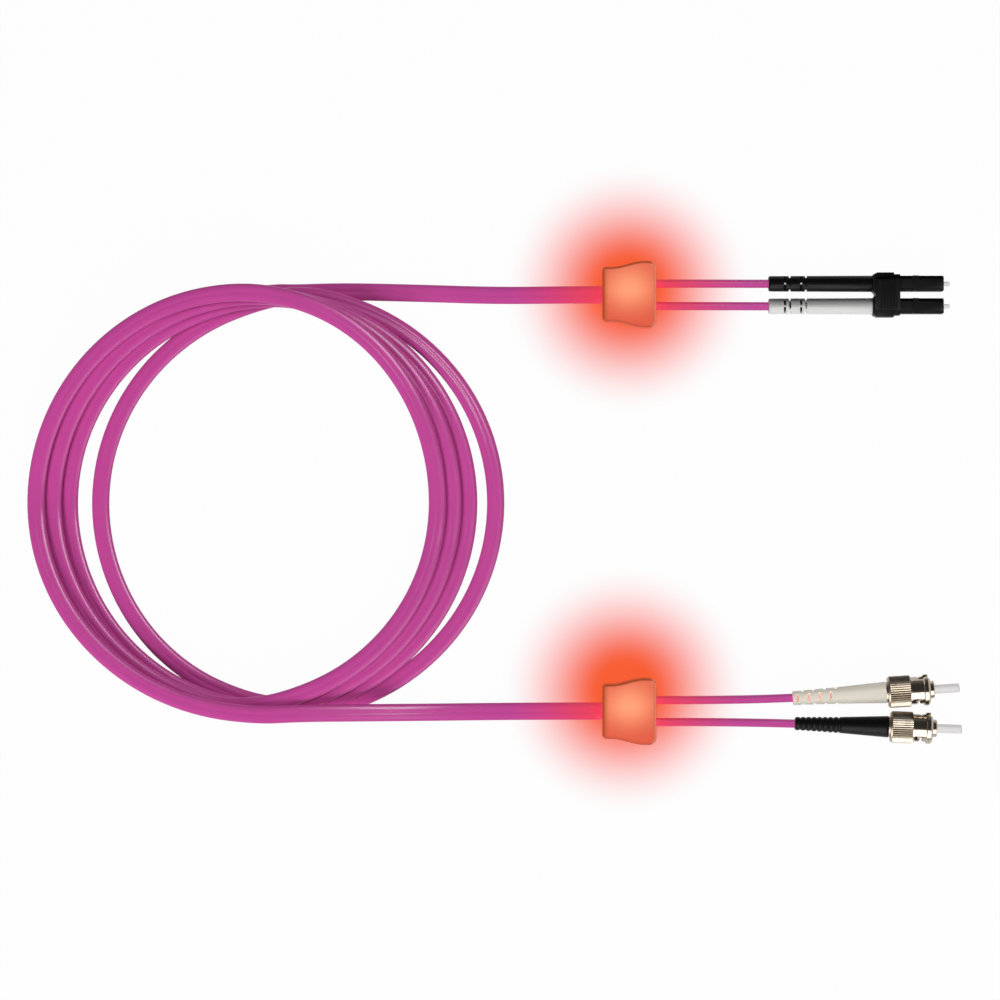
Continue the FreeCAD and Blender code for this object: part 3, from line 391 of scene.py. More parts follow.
LAMP_DEEP = (1.0, 0.3, 0.16)
LAMP_PALE = (1.0, 0.42, 0.26)


def lamp_material():
    """Lens of the lit diode inside a splitter."""
    material, tree, shader = start_material("lamp")
    cloud = place_noise(tree, FINE_NOISE, FINE_DETAIL)
    glow = colours(tree, cloud, LAMP_DEEP, LAMP_PALE)
    tree.links.new(glow, shader.inputs["Base Color"])
    tree.links.new(glow, shader.inputs["Emission Color"])
    shader.inputs["Emission Strength"].default_value = 1.0
    return material


looks = {
    "cord_jacket": jacket_material(),
    "splitter_shell_lc": shell_material("lc", END_Y),
    "splitter_shell_st": shell_material("st", -END_Y),
    "lamp": lamp_material(),
    "board": moulded("board", colour=(0.04, 0.16, 0.07), rough=0.35),
    "black_rubber": moulded(
        "black_rubber", colour=(0.0065, 0.0065, 0.007), rough=0.38, vary=0.25, gloss=0.13
    ),
    "white_rubber": moulded("white_rubber", colour=(0.68, 0.68, 0.675), rough=0.45, vary=0.04),
    "cream_rubber": moulded("cream_rubber", colour=(0.86, 0.80, 0.69), rough=0.48, vary=0.05),
    "black_plastic": moulded(
        "black_plastic", colour=(0.0105, 0.0105, 0.011), rough=0.45, vary=0.25,
        grain=0.12, depth=0.01, gloss=0.22,
    ),
    "pale_liner": moulded("pale_liner", colour=(0.82, 0.40, 0.33), rough=0.5, vary=0.1),
    # Dark material of the painted shade in the boots' windows and slits
    "painted_shade": moulded("painted_shade", colour=(0.004, 0.004, 0.004), rough=0.7, vary=0.2, gloss=0.1),
    "ceramic": moulded("ceramic", colour=(0.90, 0.885, 0.87), rough=0.2, vary=0.03, depth=0.004, coat=0.3),
    "fibre": moulded("fibre", colour=(0.82, 0.82, 0.79), rough=0.3, vary=0.04),
    "nickel": nickel_material(),
    "plated_metal": plated(
        "plated_metal", colour=(0.62, 0.52, 0.34), tarnish=(0.52, 0.41, 0.25), rough=0.3
    ),
    "spring_steel": plated(
        "spring_steel", colour=(0.56, 0.56, 0.56), tarnish=(0.46, 0.45, 0.43), rough=0.28
    ),
}

# Mesh helpers


def make_object(name, vertices, faces, material, smooth=True):
    mesh = bpy.data.meshes.new(name)
    mesh.from_pydata([tuple(v) for v in vertices], [], faces)
    mesh.update()
    mesh.polygons.foreach_set("use_smooth", [smooth] * len(mesh.polygons))
    mesh.materials.append(material)
    piece = bpy.data.objects.new(name, mesh)
    collection.objects.link(piece)
    return piece


def row_faces(rows, count, wrap=False):
    """Faces between rows of count points, each row a ring; wrap joins the last row to the first."""
    faces = []
    for n in range(rows if wrap else rows - 1):
        step = ((n + 1) % rows - n) * count
        for k in range(count):
            first = n * count + k
            second = n * count + (k + 1) % count
            faces.append((first, second, second + step, first + step))
    return faces


def settle(piece, slot_name, *replaced):
    """Fix a piece to the cord and hide the solids that it stands for; slot_name is not used."""
    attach(piece, "cord")
    if replaced:
        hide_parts(*replaced)


# Floor

FLOOR_HALF = 3.0
FLOOR_Z = -0.1 * MM
FLOOR_GREY = (0.5, 0.5, 0.5, 1)
FLOOR_WHITE = (1.0, 1.0, 1.0)
WHITE_SHARE = 0.98  # the rest of the floor takes the shadow
# Colours of the painted pool of red light round each splitter
FLOOR_PAINTED_RED = (0.955, 0.115, 0.036)
FLOOR_PAINTED_PINK = (1.0, 0.115, 0.14)
FLOOR_CORNERS = [(-1, -1), (1, -1), (1, 1), (-1, 1)]


def floor_material():
    """White floor that keeps the shadow, with a painted pool of red light round each splitter."""
    material = bpy.data.materials.new("floor")
    material.use_nodes = True
    tree = material.node_tree
    tree.nodes.clear()
    output = add(tree, "ShaderNodeOutputMaterial")
    diffuse = add(tree, "ShaderNodeBsdfDiffuse")
    diffuse.inputs["Color"].default_value = FLOOR_GREY
    light = add(tree, "ShaderNodeEmission")
    # Painted light: the splitters' red light is painted into the floor's white
    pool = glow_factor(tree, 0.0, 1.0)
    red = colours(tree, pool, FLOOR_PAINTED_PINK, FLOOR_PAINTED_RED)
    tree.links.new(colours(tree, pool, FLOOR_WHITE, red), light.inputs["Color"])
    path = add(tree, "ShaderNodeLightPath")
    seen = joined(tree, "MAXIMUM", path.outputs["Is Camera Ray"], path.outputs["Is Glossy Ray"])
    seen = joined(tree, "MAXIMUM", seen, path.outputs["Is Transmission Ray"])
    part = add(tree, "ShaderNodeMath", operation="MULTIPLY")
    part.inputs[1].default_value = WHITE_SHARE
    tree.links.new(seen, part.inputs[0])
    mix = add(tree, "ShaderNodeMixShader")
    tree.links.new(part.outputs[0], mix.inputs[0])
    tree.links.new(diffuse.outputs[0], mix.inputs[1])
    tree.links.new(light.outputs[0], mix.inputs[2])
    tree.links.new(mix.outputs[0], output.inputs["Surface"])
    material.cycles.emission_sampling = "NONE"
    return material


floor_places = [(x * FLOOR_HALF, y * FLOOR_HALF, FLOOR_Z) for x, y in FLOOR_CORNERS]
floor = make_object("floor", floor_places, [(0, 1, 2, 3)], floor_material(), smooth=False)

# Lamps and world

PLUG_AIM = (0, 0, 0)
COIL_AIM = (-0.14, 0, 0)
STRIP_PLACE = (0.60, 0.58, 1.16)
STRIP_SIZE = (0.7, 0.14)
WORLD_WHITE = (1, 1, 1, 1)
HORIZON_LEVEL = 0.24
OVERHEAD_LEVEL = 0.06
OVERHEAD_FROM = 0.6  # upward part of the direction from which the light stays dim


def soft_light(name, place, aim, size, power):
    data = bpy.data.lights.new(name, "AREA")
    data.shape = "RECTANGLE"
    data.size, data.size_y = size
    data.energy = power
    lamp = bpy.data.objects.new(name, data)
    lamp.location = place
    lamp.rotation_euler = (Vector(aim) - Vector(place)).to_track_quat("-Z", "Y").to_euler()
    collection.objects.link(lamp)
    return lamp


def studio_world():
    """Soft even light, dim overhead and paler towards the horizon."""
    world = bpy.data.worlds.new("studio")
    bpy.context.scene.world = world
    world.use_nodes = True
    tree = world.node_tree
    backdrop = tree.nodes["Background"]
    coords = add(tree, "ShaderNodeTexCoord")
    parts = add(tree, "ShaderNodeSeparateXYZ")
    tree.links.new(coords.outputs["Generated"], parts.inputs[0])
    level = between(tree, parts.outputs["Z"], HORIZON_LEVEL, OVERHEAD_LEVEL, 0.0, OVERHEAD_FROM)
    tree.links.new(level, backdrop.inputs["Strength"])
    backdrop.inputs["Color"].default_value = WORLD_WHITE


front_lamp = soft_light("front", place=(0.02, -0.66, 0.6), aim=PLUG_AIM, size=(0.85, 0.95), power=10.0)
strip_lamp = soft_light("strip", place=STRIP_PLACE, aim=COIL_AIM, size=STRIP_SIZE, power=10.2)
low_lamp = soft_light("low", place=(-0.82, -0.87, 0.78), aim=COIL_AIM, size=(0.6, 0.6), power=13.6)
band_lamp = soft_light("band", place=(0.63, -0.64, 0.65), aim=COIL_AIM, size=(0.9, 0.9), power=5.6)
glint_lamp = soft_light("glint", place=STRIP_PLACE, aim=COIL_AIM, size=STRIP_SIZE, power=2.4)
low_lamp.visible_glossy = False
band_lamp.visible_diffuse = False
glint_lamp.visible_diffuse = False
studio_world()

# Cords

CORD_D = 2.35
CORD_R = CORD_D / 2
TWIN_W = 4.85
SQUARENESS = 2.25  # of the section; 2 is an ellipse
GROOVE = 0.16  # depth of the dip along the middle of each face
GROOVE_HALF = 0.4
SECTION_STEPS = 28
TRUNK_RESOLUTION = 6
LEG_RESOLUTION = 10
LEG_ROUNDNESS = 6

LEAD_ST = [
    (-48.65, -57.8, 4.2),
    (-60.0, -57.8, 4.2),
    (-77.0, -58.0, 1.6),
    (-97.0, -58.2, 2.4),
    (-116.0, -58.1, 7.6),
    (-134.0, -58.1, 10.4),
]
LEAD_LC = [
    (-48.65, 57.8, 4.2),
    (-60.0, 57.8, 4.2),
    (-79.0, 57.7, 1.2),
    (-101.0, 58.4, 1.2),
    (-122.0, 58.9, 1.2),
    (-136.0, 58.4, 1.2),
]

# Coil as seen from above, first turn on top: the x of each turn at its left and right, and the x and y of its
# highest and lowest place, as read from the arc to the left and to the right of it; a foot's y is downwards
COIL_LEFT = [-207.2, -202.5, -197.9, -189.2, -207.1]
COIL_RIGHT = [-95.7, -91.4, -87.0, -79.5]
TOP_LEFT = [(-149.7, 58.6), (-144.5, 57.6), (-140.0, 56.8), (-130.5, 57.4), (-140.3, 58.0)]
TOP_RIGHT = [(-147.8, 58.0), (-145.5, 57.3), (-143.3, 56.8), (-137.8, 57.6)]
FOOT_LEFT = [(-145.5, 58.6), (-143.3, 57.8), (-142.5, 57.1), (-135.8, 56.0), (-144.4, 57.8)]
FOOT_RIGHT = [(-152.2, 56.2), (-147.8, 56.9), (-143.6, 57.3), (-139.2, 58.4)]
LEFT_REST = [1.3, 0.65, 0, 0, 0]  # layers below a turn at its left and right
RIGHT_REST = [1.18, 0.59, 0, 0]
QUARTER_STEPS = 6
STEP = QUARTER / QUARTER_STEPS
COIL_SPREAD = 1 / math.cos(STEP / 2)  # a spline runs inside its control points
CLIMB = 1.5  # how soon a turn reaches its layer at an apex

# Lean of the coil's turns, outward if positive; each of LEANS has, in degrees, the middle and half spread of
# an arc of the coil, the lean of its inner turns and the lean of its outer turn
COIL_X = -143.3
COIL_HALF_X = 64.0
COIL_HALF_Y = 58.6
LEANS = [
    (215, 55, 3, -4),
    (42, 48, 3, 18),
]
OUTER_FROM = 0.93  # share of the coil's half sizes at which the outer turn begins
OUTER_FULL = 0.98
LEAD_FROM = 1.02  # share past which the cord is a lead and comes to lie level
LEAD_FULL = 1.06


def sighted(x, y, z):
    """A place read from the picture, moved along its line of sight to the height z."""
    near = 1 - (z - VIEW_Z) / reach
    return (VIEW_X + (x - VIEW_X) * near, VIEW_Y + (y - VIEW_Y) * near, z)


def apex_of(first, second, pick):
    """The apex between two arcs."""
    return ((first[0] + second[0]) / 2, pick(first[1], second[1]))


def coil_point(side_x, apex, angle, layer, rest):
    """A control point of a quarter turn, on the layer rest at its side and on layer at its apex."""
    past_side = math.asin(min(1.0, abs(math.sin(angle))))
    lift = math.sin(min(CLIMB * past_side, QUARTER))
    x = apex[0] + abs(side_x - apex[0]) * COIL_SPREAD * math.cos(angle)
    y = apex[1] * COIL_SPREAD * math.sin(angle)
    return sighted(x, y, CORD_R + CORD_D * (rest + (layer - rest) * lift))


def arc_points(side_x, apex, angle, steps, layer, rest):
    """Control points of part of a turn, at these steps on from an angle."""
    points = []
    for n in steps:
        points.append(coil_point(side_x, apex, angle - n * STEP, layer, rest))
    return points


def coil_points():
    """Control points from the foot of the top turn, turn by turn, to the head of the last."""
    from_side = range(QUARTER_STEPS)
    past_apex = range(1, QUARTER_STEPS)
    to_apex = range(QUARTER_STEPS + 1)
    top = len(COIL_RIGHT)
    points = arc_points(COIL_LEFT[0], FOOT_LEFT[0], -QUARTER, from_side, top, LEFT_REST[0])
    for turn, right in enumerate(COIL_RIGHT):
        layer = top - turn
        rest = RIGHT_REST[turn]
        left = COIL_LEFT[turn]
        left_rest = LEFT_REST[turn]
        after = COIL_LEFT[turn + 1]
        after_rest = LEFT_REST[turn + 1]
        head = apex_of(TOP_LEFT[turn], TOP_RIGHT[turn], max)
        foot = apex_of(FOOT_RIGHT[turn], FOOT_LEFT[turn + 1], min)
        points += arc_points(left, TOP_LEFT[turn], math.pi, from_side, layer, left_rest)
        points.append(coil_point(right, head, QUARTER, layer, rest))
        points += arc_points(right, TOP_RIGHT[turn], QUARTER, past_apex, layer, rest)
        points += arc_points(right, FOOT_RIGHT[turn], 0, from_side, layer - 1, rest)
        points.append(coil_point(right, foot, -QUARTER, layer - 1, rest))
        points += arc_points(after, FOOT_LEFT[turn + 1], -QUARTER, past_apex, layer - 1, after_rest)
    points += arc_points(COIL_LEFT[-1], TOP_LEFT[-1], math.pi, to_apex, 0, LEFT_REST[-1])
    return points


def route_curve(name, points, resolution):
    curve = bpy.data.curves.new(name, "CURVE")
    curve.dimensions = "3D"
    curve.resolution_u = resolution
    spline = curve.splines.new("NURBS")
    spline.points.add(len(points) - 1)
    for point, (x, y, z) in zip(spline.points, points):
        point.co = (x * MM, y * MM, z * MM, 1)
    spline.order_u = 3
    spline.use_endpoint_u = True
    piece = bpy.data.objects.new(name, curve)
    collection.objects.link(piece)
    return piece


def line_points(guide):
    """The points of a spline's line; the guide is removed."""
    bpy.context.view_layer.update()
    mesh = bpy.data.meshes.new_from_object(guide)
    points = [v.co.copy() for v in mesh.vertices]
    bpy.data.meshes.remove(mesh)
    bpy.data.objects.remove(guide)
    return points


def twin_section():
    """Outline of a twin cord: flattened, with a shallow dip along the middle of each face."""
    outline = []
    for face in (1, -1):
        for n in range(SECTION_STEPS):
            across = math.sin(QUARTER * face * (1 - 2 * n / SECTION_STEPS))
            x = TWIN_W / 2 * across
            height = CORD_R * (1 - abs(across) ** SQUARENESS) ** (1 / SQUARENESS)
            dip = GROOVE * math.exp(-((x / GROOVE_HALF) ** 2))
            outline.append((x * MM, face * max(0.0, height - dip) * MM))
    return outline


def clamped(share):
    return min(1.0, max(0.0, share))


def lean_at(place):
    """Outward lean of the cord where its turns lie against each other."""
    x = place.x / MM - COIL_X
    y = place.y / MM
    share = math.hypot(x / COIL_HALF_X, y / COIL_HALF_Y)
    outer = clamped((share - OUTER_FROM) / (OUTER_FULL - OUTER_FROM))
    coiled = clamped((LEAD_FULL - share) / (LEAD_FULL - LEAD_FROM))
    total = 0.0
    for middle, half, inner_lean, outer_lean in LEANS:
        away = (math.atan2(y, x) - math.radians(middle) + math.pi) % ROUND - math.pi
        window = math.cos(QUARTER * min(1.0, abs(away) / math.radians(half))) ** 2
        total += window * math.radians(inner_lean + (outer_lean - inner_lean) * outer)
    return total * coiled


def swept(name, points, outline, material):
    """A tube whose section lies level, but for the lean of the coil."""
    vertices = []
    count = len(outline)
    for n, place in enumerate(points):
        before = points[max(n - 1, 0)]
        after = points[min(n + 1, len(points) - 1)]
        along = (after - before).normalized()
        side = along.cross(UP).normalized()
        upward = side.cross(along)
        lean = lean_at(place)
        wide = side * math.cos(lean) + upward * math.sin(lean)
        high = upward * math.cos(lean) - side * math.sin(lean)
        for a, b in outline:
            vertices.append(place + wide * a + high * b)
    faces = row_faces(len(points), count)
    faces.append(tuple(range(count)))
    faces.append(tuple(reversed(range(len(vertices) - count, len(vertices)))))
    return make_object(name, vertices, faces, material)


trunk_route = LEAD_ST + coil_points() + LEAD_LC[::-1]
trunk_path = line_points(route_curve("trunk_line", trunk_route, TRUNK_RESOLUTION))
trunk = swept("trunk_cord", trunk_path, twin_section(), looks["cord_jacket"])
settle(trunk, "cord_jacket", "trunk_coil", "trunk_lead_lc", "trunk_lead_st")

LEG_ROUTES = {
    "lc_a": [(-48.65, 59.0, 4.2), (-44.4, 59.0, 4.2), (-37.9, 60.925, 4.2), (-25.0, 60.925, 4.2),
             (-5.7, 60.925, 3.05), (13.3, 60.925, 3.05)],
    "lc_b": [(-48.65, 56.6, 4.2), (-44.4, 56.6, 4.2), (-37.9, 54.675, 4.2), (-25.0, 54.675, 4.2),
             (-5.7, 54.675, 3.05), (13.3, 54.675, 3.05)],
    "st_a": [(-48.65, -56.6, 4.2), (-44.4, -56.6, 4.2), (-37.9, -54.675, 4.2), (-24.4, -54.8, 4.1),
             (0.922, -54.35, 4.45), (18.786, -53.226, 4.45)],
    "st_b": [(-48.65, -59.0, 4.2), (-44.4, -59.0, 4.2), (-37.9, -60.925, 4.2), (-24.4, -60.8, 4.1),
             (1.545, -61.145, 4.45), (19.434, -61.77, 4.45)],
}

for key, route in LEG_ROUTES.items():
    leg = route_curve("leg_" + key + "_cord", route, LEG_RESOLUTION)
    leg.data.bevel_depth = CORD_R * MM
    leg.data.bevel_resolution = LEG_ROUNDNESS
    leg.data.use_fill_caps = True
    leg.data.materials.append(looks["cord_jacket"])
    settle(leg, "cord_jacket", "leg_" + key)
    end, channel = key.split("_")

# Splitter shells

REAR_HALF_W = 7.6
FRONT_HALF_W = 9.25
REAR_CORNER = 1.05
FRONT_CORNER = 2.1
OGEE_START = 2.6
OGEE_END = 11.6
OGEE_STEPS = 14
CORNER_STEPS = 6
EDGE_ROUND = 0.98
EDGE_STEPS = 6
SEAM = 0.12
CROWN = 0.22
CROWN_RINGS = (0.92, 0.8, 0.6, 0.4, 0.2)


def corner(x, y, radius, start):
    """A quarter round about x and y, turning clockwise from the angle start."""
    places = []
    for n in range(CORNER_STEPS + 1):
        angle = start - QUARTER * n / CORNER_STEPS
        places.append((x + radius * math.cos(angle), y + radius * math.sin(angle)))
    return places


def splitter_half_outline():
    """One side of the shell, from the middle of the rear to the middle of the front."""
    side = [(0, 0), (0, REAR_HALF_W / 3), (0, 2 * REAR_HALF_W / 3)]
    side += corner(REAR_CORNER, REAR_HALF_W - REAR_CORNER, REAR_CORNER, math.pi)
    for n in range(OGEE_STEPS + 1):
        t = n / OGEE_STEPS
        rise = t * t * (3 - 2 * t)
        x = OGEE_START + (OGEE_END - OGEE_START) * t
        side.append((x, REAR_HALF_W + (FRONT_HALF_W - REAR_HALF_W) * rise))
    side += corner(SPLIT_LEN - FRONT_CORNER, FRONT_HALF_W - FRONT_CORNER, FRONT_CORNER, QUARTER)
    side += [(SPLIT_LEN, 2 * FRONT_HALF_W / 3), (SPLIT_LEN, FRONT_HALF_W / 3), (SPLIT_LEN, 0)]
    return side


def splitter_outline():
    upper = splitter_half_outline()
    lower = [(x, -y) for x, y in reversed(upper[1:-1])]
    return [Vector((x, y, 0)) for x, y in upper + lower]


def drawn_in(outline, depth):
    """The outline moved inwards by depth."""
    moved = []
    count = len(outline)
    for n, place in enumerate(outline):
        along = (outline[(n + 1) % count] - outline[n - 1]).normalized()
        inward = Vector((along.y, -along.x, 0))
        moved.append(place + inward * depth)
    return moved


def shell(name, end_y, way, material):
    """Half a splitter: way is 1 for the upper half and -1 for the lower."""
    outline = splitter_outline()
    flat_z = SPLIT_T / 2 - CROWN if way > 0 else SPLIT_T / 2
    rings = [(drawn_in(outline, SEAM), 0.0), (outline, SEAM)]
    for n in range(EDGE_STEPS + 1):
        angle = QUARTER * n / EDGE_STEPS
        depth = EDGE_ROUND * (1 - math.cos(angle))
        rings.append((drawn_in(outline, depth), flat_z - EDGE_ROUND * (1 - math.sin(angle))))
    middle = Vector((SPLIT_LEN / 2, 0, 0))
    rim = rings[-1][0]
    for share in CROWN_RINGS:
        rise = CROWN * (1 - share * share) if way > 0 else 0
        rings.append(([middle + (p - middle) * share for p in rim], flat_z + rise))
    vertices = []
    count = len(outline)
    for ring, height in rings:
        for p in ring:
            vertices.append(Vector((SPLIT_X + p.x, end_y + p.y, SPLIT_MID + way * height)) * MM)
    faces = row_faces(len(rings), count)
    faces.append(tuple(range(count)))
    faces.append(tuple(range(len(vertices) - count, len(vertices))))
    if way > 0:
        faces = [tuple(reversed(f)) for f in faces]
    return make_object(name, vertices, faces, material)


for end, end_y in (("lc", END_Y), ("st", -END_Y)):
    for half, way in (("upper", 1), ("lower", -1)):
        node = "splitter_" + end + "_" + half
        piece = shell(node + "_shell", end_y, way, looks["splitter_shell_" + end])
        settle(piece, "splitter_shell", node)

# Springs: span along the plug's axis, wire and mean radius

WIRE_SIDES = 8
TURN_STEPS = 20
SPRING_TURNS = 4
LC_SPAN = (-12.475, -8.25)
LC_WIRE = 0.3
LC_MEAN_R = 1.28
ST_SPAN = (-11.175, -5.425)
ST_WIRE = 0.45
ST_MEAN_R = 2.95


def spring(plug, place, axis, span, wire, mean_r):
    """Round-wire coil spring over a span of the axis."""
    start, stop = span
    along = Vector(axis)
    across = along.cross(UP).normalized()
    upward = across.cross(along)
    steps = SPRING_TURNS * TURN_STEPS
    half = wire / 2
    vertices = []
    for n in range(steps + 1):
        turn = ROUND * n / TURN_STEPS
        outward = across * math.cos(turn) + upward * math.sin(turn)
        middle = place + along * (start + half + (stop - start - wire) * n / steps) + outward * mean_r
        for k in range(WIRE_SIDES):
            angle = ROUND * k / WIRE_SIDES
            vertices.append((middle + outward * half * math.cos(angle) + along * half * math.sin(angle)) * MM)
    faces = row_faces(steps + 1, WIRE_SIDES)
    faces.append(tuple(range(WIRE_SIDES)))
    faces.append(tuple(reversed(range(len(vertices) - WIRE_SIDES, len(vertices)))))
    piece = make_object(plug + "_coil_spring", vertices, faces, looks["spring_steel"])
    settle(piece, "spring_steel", plug + "_spring")
    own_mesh(piece)


for channel in SIDES:
    plug = "lc_" + channel
    place = duplex_place(channel)
    spring(plug, place, PLUG_AXIS, LC_SPAN, LC_WIRE, LC_MEAN_R)
    plug = "st_" + channel
    place, axis = bayonet_place(channel)
    spring(plug, place, axis, ST_SPAN, ST_WIRE, ST_MEAN_R)

# Boots of the duplex plug: windows and notches along its axis, slits round it

LC_WINDOWS = (-44.1, -39.6)
LC_NOTCHES = (-42.66, -38.2)
LC_BOOT_R = 2.18
LINER_IN = 1.2
LINER_OUT = 1.245
LINER_PAST = 2.0
LINER_SIDES = 32
PIP_R = 0.3
PIP_UP = 0.1
PIP_DOME = ((0.0, 1.0), (1.0, 1.0), (1.6, 0.8), (2.0, 0.4), (2.0, 0.05))  # height by PIP_UP, radius by PIP_R
PIP_SIDES = 16
WINDOW_SLIT = (math.radians(42), math.radians(138))
NOTCH_SLIT = (math.radians(66), math.radians(122))
SLIT_HALF = 0.27
SLIT_TIP = 0.01  # square of the share of SLIT_HALF that is left at its tips
SLIT_STEPS = 10
SLIT_PROUD = 0.015
SLIT_DEEP = 0.3
SLIT_CORNERS = 4


def turned(name, outline, place, axis, sides, material, closed=True):
    """Outline of (along, radius) turned about an axis."""
    along = Vector(axis)
    across = along.cross(UP).normalized()
    upward = across.cross(along)
    vertices = []
    for x, r in outline:
        for k in range(sides):
            angle = ROUND * k / sides
            outward = across * math.cos(angle) + upward * math.sin(angle)
            vertices.append((place + along * x + outward * r) * MM)
    return make_object(name, vertices, row_faces(len(outline), sides, wrap=closed), material)


def liner(name, place, axis, rear, front, outer_r, material):
    """Thin sleeve that shows in the slits of a boot; the dark one is painted shade inside the boot."""
    outline = [(rear, LINER_IN), (rear, outer_r), (front, outer_r), (front, LINER_IN)]
    return turned(name, outline, place, axis, LINER_SIDES, material)


def pip(name, foot, face):
    """Small light dome in a boot's window, on its upper or under face."""
    vertices = []
    for up, wide in PIP_DOME:
        for k in range(PIP_SIDES):
            angle = ROUND * k / PIP_SIDES
            flat = Vector((math.cos(angle), math.sin(angle), 0)) * wide * PIP_R
            vertices.append((foot + flat + UP * face * up * PIP_UP) * MM)
    faces = row_faces(len(PIP_DOME), PIP_SIDES)
    if face < 0:
        faces = [tuple(reversed(f)) for f in faces]
    return make_object(name, vertices, faces, looks["white_rubber"])


def slit_shade(name, place, x, span, face):
    """Dark leaf-shaped sheet across a boot, bent to its round: the painted shade of one of its slits."""
    vertices = []
    for n in range(SLIT_STEPS + 1):
        share = n / SLIT_STEPS
        angle = span[0] + (span[1] - span[0]) * share
        half = SLIT_HALF * math.sqrt(max(SLIT_TIP, 4 * share * (1 - share)))
        out = Vector((0, -math.cos(angle), face * math.sin(angle)))
        for r in (LC_BOOT_R + SLIT_PROUD, LC_BOOT_R - SLIT_DEEP):
            for way in (-1, 1):
                vertices.append((place + out * r + Vector((x + way * half, 0, 0))) * MM)
    last = SLIT_CORNERS * SLIT_STEPS
    faces = [(0, 1, 3, 2), (last, last + 2, last + 3, last + 1)]
    for n in range(SLIT_STEPS):
        base = SLIT_CORNERS * n
        for first, second in ((0, 1), (1, 3), (3, 2), (2, 0)):
            near = (base + second, base + first)
            faces.append((*near, base + first + SLIT_CORNERS, base + second + SLIT_CORNERS))
    if face < 0:
        faces = [tuple(reversed(f)) for f in faces]
    return make_object(name, vertices, faces, looks["painted_shade"])


# Painted shade: a dark sleeve inside each boot and dark sheets on its windows and notches stand for the shade
# in them
for channel in SIDES:
    plug = "lc_" + channel
    place = duplex_place(channel)
    rear_x = LC_WINDOWS[0] - LINER_PAST
    front_x = LC_WINDOWS[1] + LINER_PAST
    shade_sleeve = liner(plug + "_liner", place, PLUG_AXIS, rear_x, front_x, LINER_OUT, looks["painted_shade"])
    settle(shade_sleeve, "black_rubber")
    for face, word in ((1, "top"), (-1, "under")):
        for n, x in enumerate(LC_WINDOWS):
            foot = place + Vector((x, 0, face * (LC_BOOT_R - PIP_UP)))
            settle(pip("%s_pip_%d_%s" % (plug, n, word), foot, face), "white_rubber")
            window = slit_shade("%s_window_%d_%s" % (plug, n, word), place, x, WINDOW_SLIT, face)
            settle(window, "black_rubber")
        for n, x in enumerate(LC_NOTCHES):
            notch_shade = slit_shade("%s_slit_%d_%s" % (plug, n, word), place, x, NOTCH_SLIT, face)
            settle(notch_shade, "black_rubber")

# Boots of the bayonet plugs, along the plug's axis

ST_BOOT_REAR = -39.4
ST_BOOT_FRONT = -13.45
ST_WAIST = -27.2
ST_REAR_R = 1.85
ST_WAIST_R = 2.25
ST_FRONT_R = 3.0
ST_BOOT_SIDES = 48
FRONT_RIM = 0.4
RINGS = 8
RING_STEPS = 10
RING_DEPTH = 0.36
RING_FULLNESS = 0.6  # power of the rings' sine; less is fuller
TAPER_STEPS = 14
TAPER_LIP = 0.35
CORD_BORE = 1.2
BORE_DEPTH = 3.0
LINER_INSET = 0.5
ST_LINER_REAR = ST_BOOT_REAR + LINER_INSET
ST_LINER_OUT = 1.3


def ringed_boot():
    """Outline of the boot with rounded rings along its tail."""
    outline = [(ST_BOOT_REAR + BORE_DEPTH, CORD_BORE), (ST_BOOT_REAR, CORD_BORE)]
    for n in range(RINGS * RING_STEPS + 1):
        share = n / (RINGS * RING_STEPS)
        lobe = abs(math.sin(math.pi * n / RING_STEPS)) ** RING_FULLNESS
        base = ST_REAR_R + (ST_WAIST_R - ST_REAR_R) * share
        outline.append((ST_BOOT_REAR + (ST_WAIST - ST_BOOT_REAR) * share, base - RING_DEPTH * (1 - lobe)))
    cone = ST_WAIST + TAPER_LIP
    for n in range(TAPER_STEPS + 1):
        share = n / TAPER_STEPS
        radius = ST_WAIST_R + (ST_FRONT_R - ST_WAIST_R) * share
        outline.append((cone + (ST_BOOT_FRONT - cone) * share, radius))
    outline.append((ST_BOOT_FRONT, ST_FRONT_R - FRONT_RIM))
    return outline


place, axis = bayonet_place("b")
black = looks["black_rubber"]
boot = turned("st_b_ringed_boot", ringed_boot(), place, axis, ST_BOOT_SIDES, black, closed=False)
settle(boot, "black_rubber", "st_b_boot")

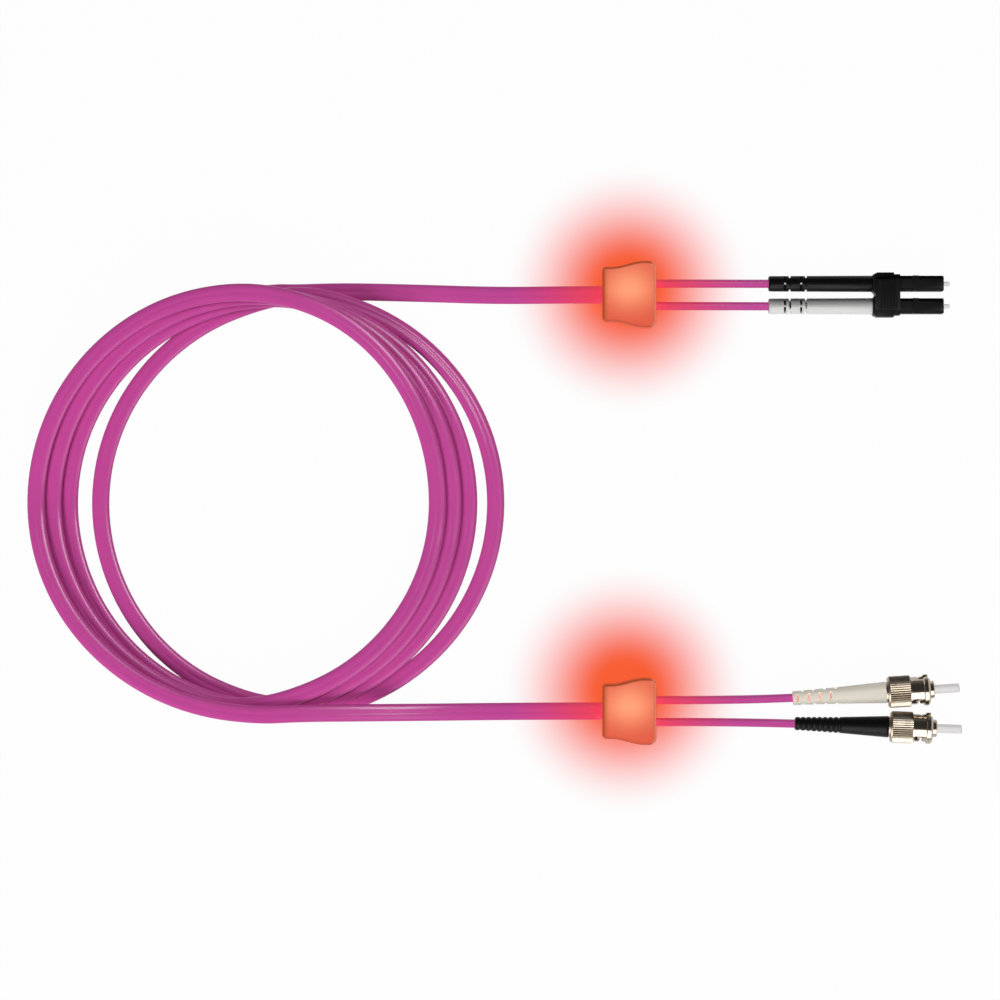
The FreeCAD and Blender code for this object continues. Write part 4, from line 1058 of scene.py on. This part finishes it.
place, axis = bayonet_place("a")
pale = looks["pale_liner"]
settle(liner("st_a_liner", place, axis, ST_LINER_REAR, ST_WAIST, ST_LINER_OUT, pale), "cream_rubber")

# Carried-over solids

ROUND_ANGLE = math.radians(32)
WELD_REACH = 0.001
SOFT_EDGE = {"black_plastic": 0.1, "black_rubber": 0.08, "white_rubber": 0.08, "cream_rubber": 0.08}
SOFT_EDGE_STEPS = 2

for row in frame["record"]["subparts"]:
    node = nodes[row["node"]]
    slot = row["material_slot"]
    if node.hide_render:
        continue
    node.data.materials.clear()
    node.data.materials.append(looks[slot])
    node.data.polygons.foreach_set("use_smooth", [True] * len(node.data.polygons))
    weld = node.modifiers.new("weld", "WELD")
    weld.merge_threshold = WELD_REACH * MM
    if slot in SOFT_EDGE:
        soften = node.modifiers.new("soft_edge", "BEVEL")
        soften.width = SOFT_EDGE[slot] * MM
        soften.segments = SOFT_EDGE_STEPS
        soften.limit_method = "ANGLE"
        soften.angle_limit = ROUND_ANGLE
        soften.use_clamp_overlap = True
    crisp = node.modifiers.new("crisp", "EDGE_SPLIT")
    crisp.split_angle = ROUND_ANGLE

# The plugs are lit from the front; the cord, the splitters, the cream boot and the ferrules from the sides

SIDE_LIT = ("cord_jacket", "splitter_shell_lc", "splitter_shell_st", "cream_rubber", "pale_liner", "ceramic")


def group_of(name, pieces):
    group = bpy.data.collections.new(name)
    for piece in pieces:
        group.objects.link(piece)
    return group


side_looks = [looks[name] for name in SIDE_LIT]
side_pieces = []
front_pieces = []
for piece in collection.all_objects:
    if piece.type in ("MESH", "CURVE"):
        side_lit = bool(piece.material_slots) and piece.material_slots[0].material in side_looks
        (side_pieces if side_lit else front_pieces).append(piece)
side_lit_group = group_of("side_lit", side_pieces)
front_lit_group = group_of("front_lit", front_pieces)
side_shade_group = group_of("side_shade", [trunk])
for lamp in (strip_lamp, low_lamp, band_lamp, glint_lamp):
    lamp.light_linking.receiver_collection = side_lit_group
    lamp.light_linking.blocker_collection = side_shade_group
front_lamp.light_linking.receiver_collection = front_lit_group
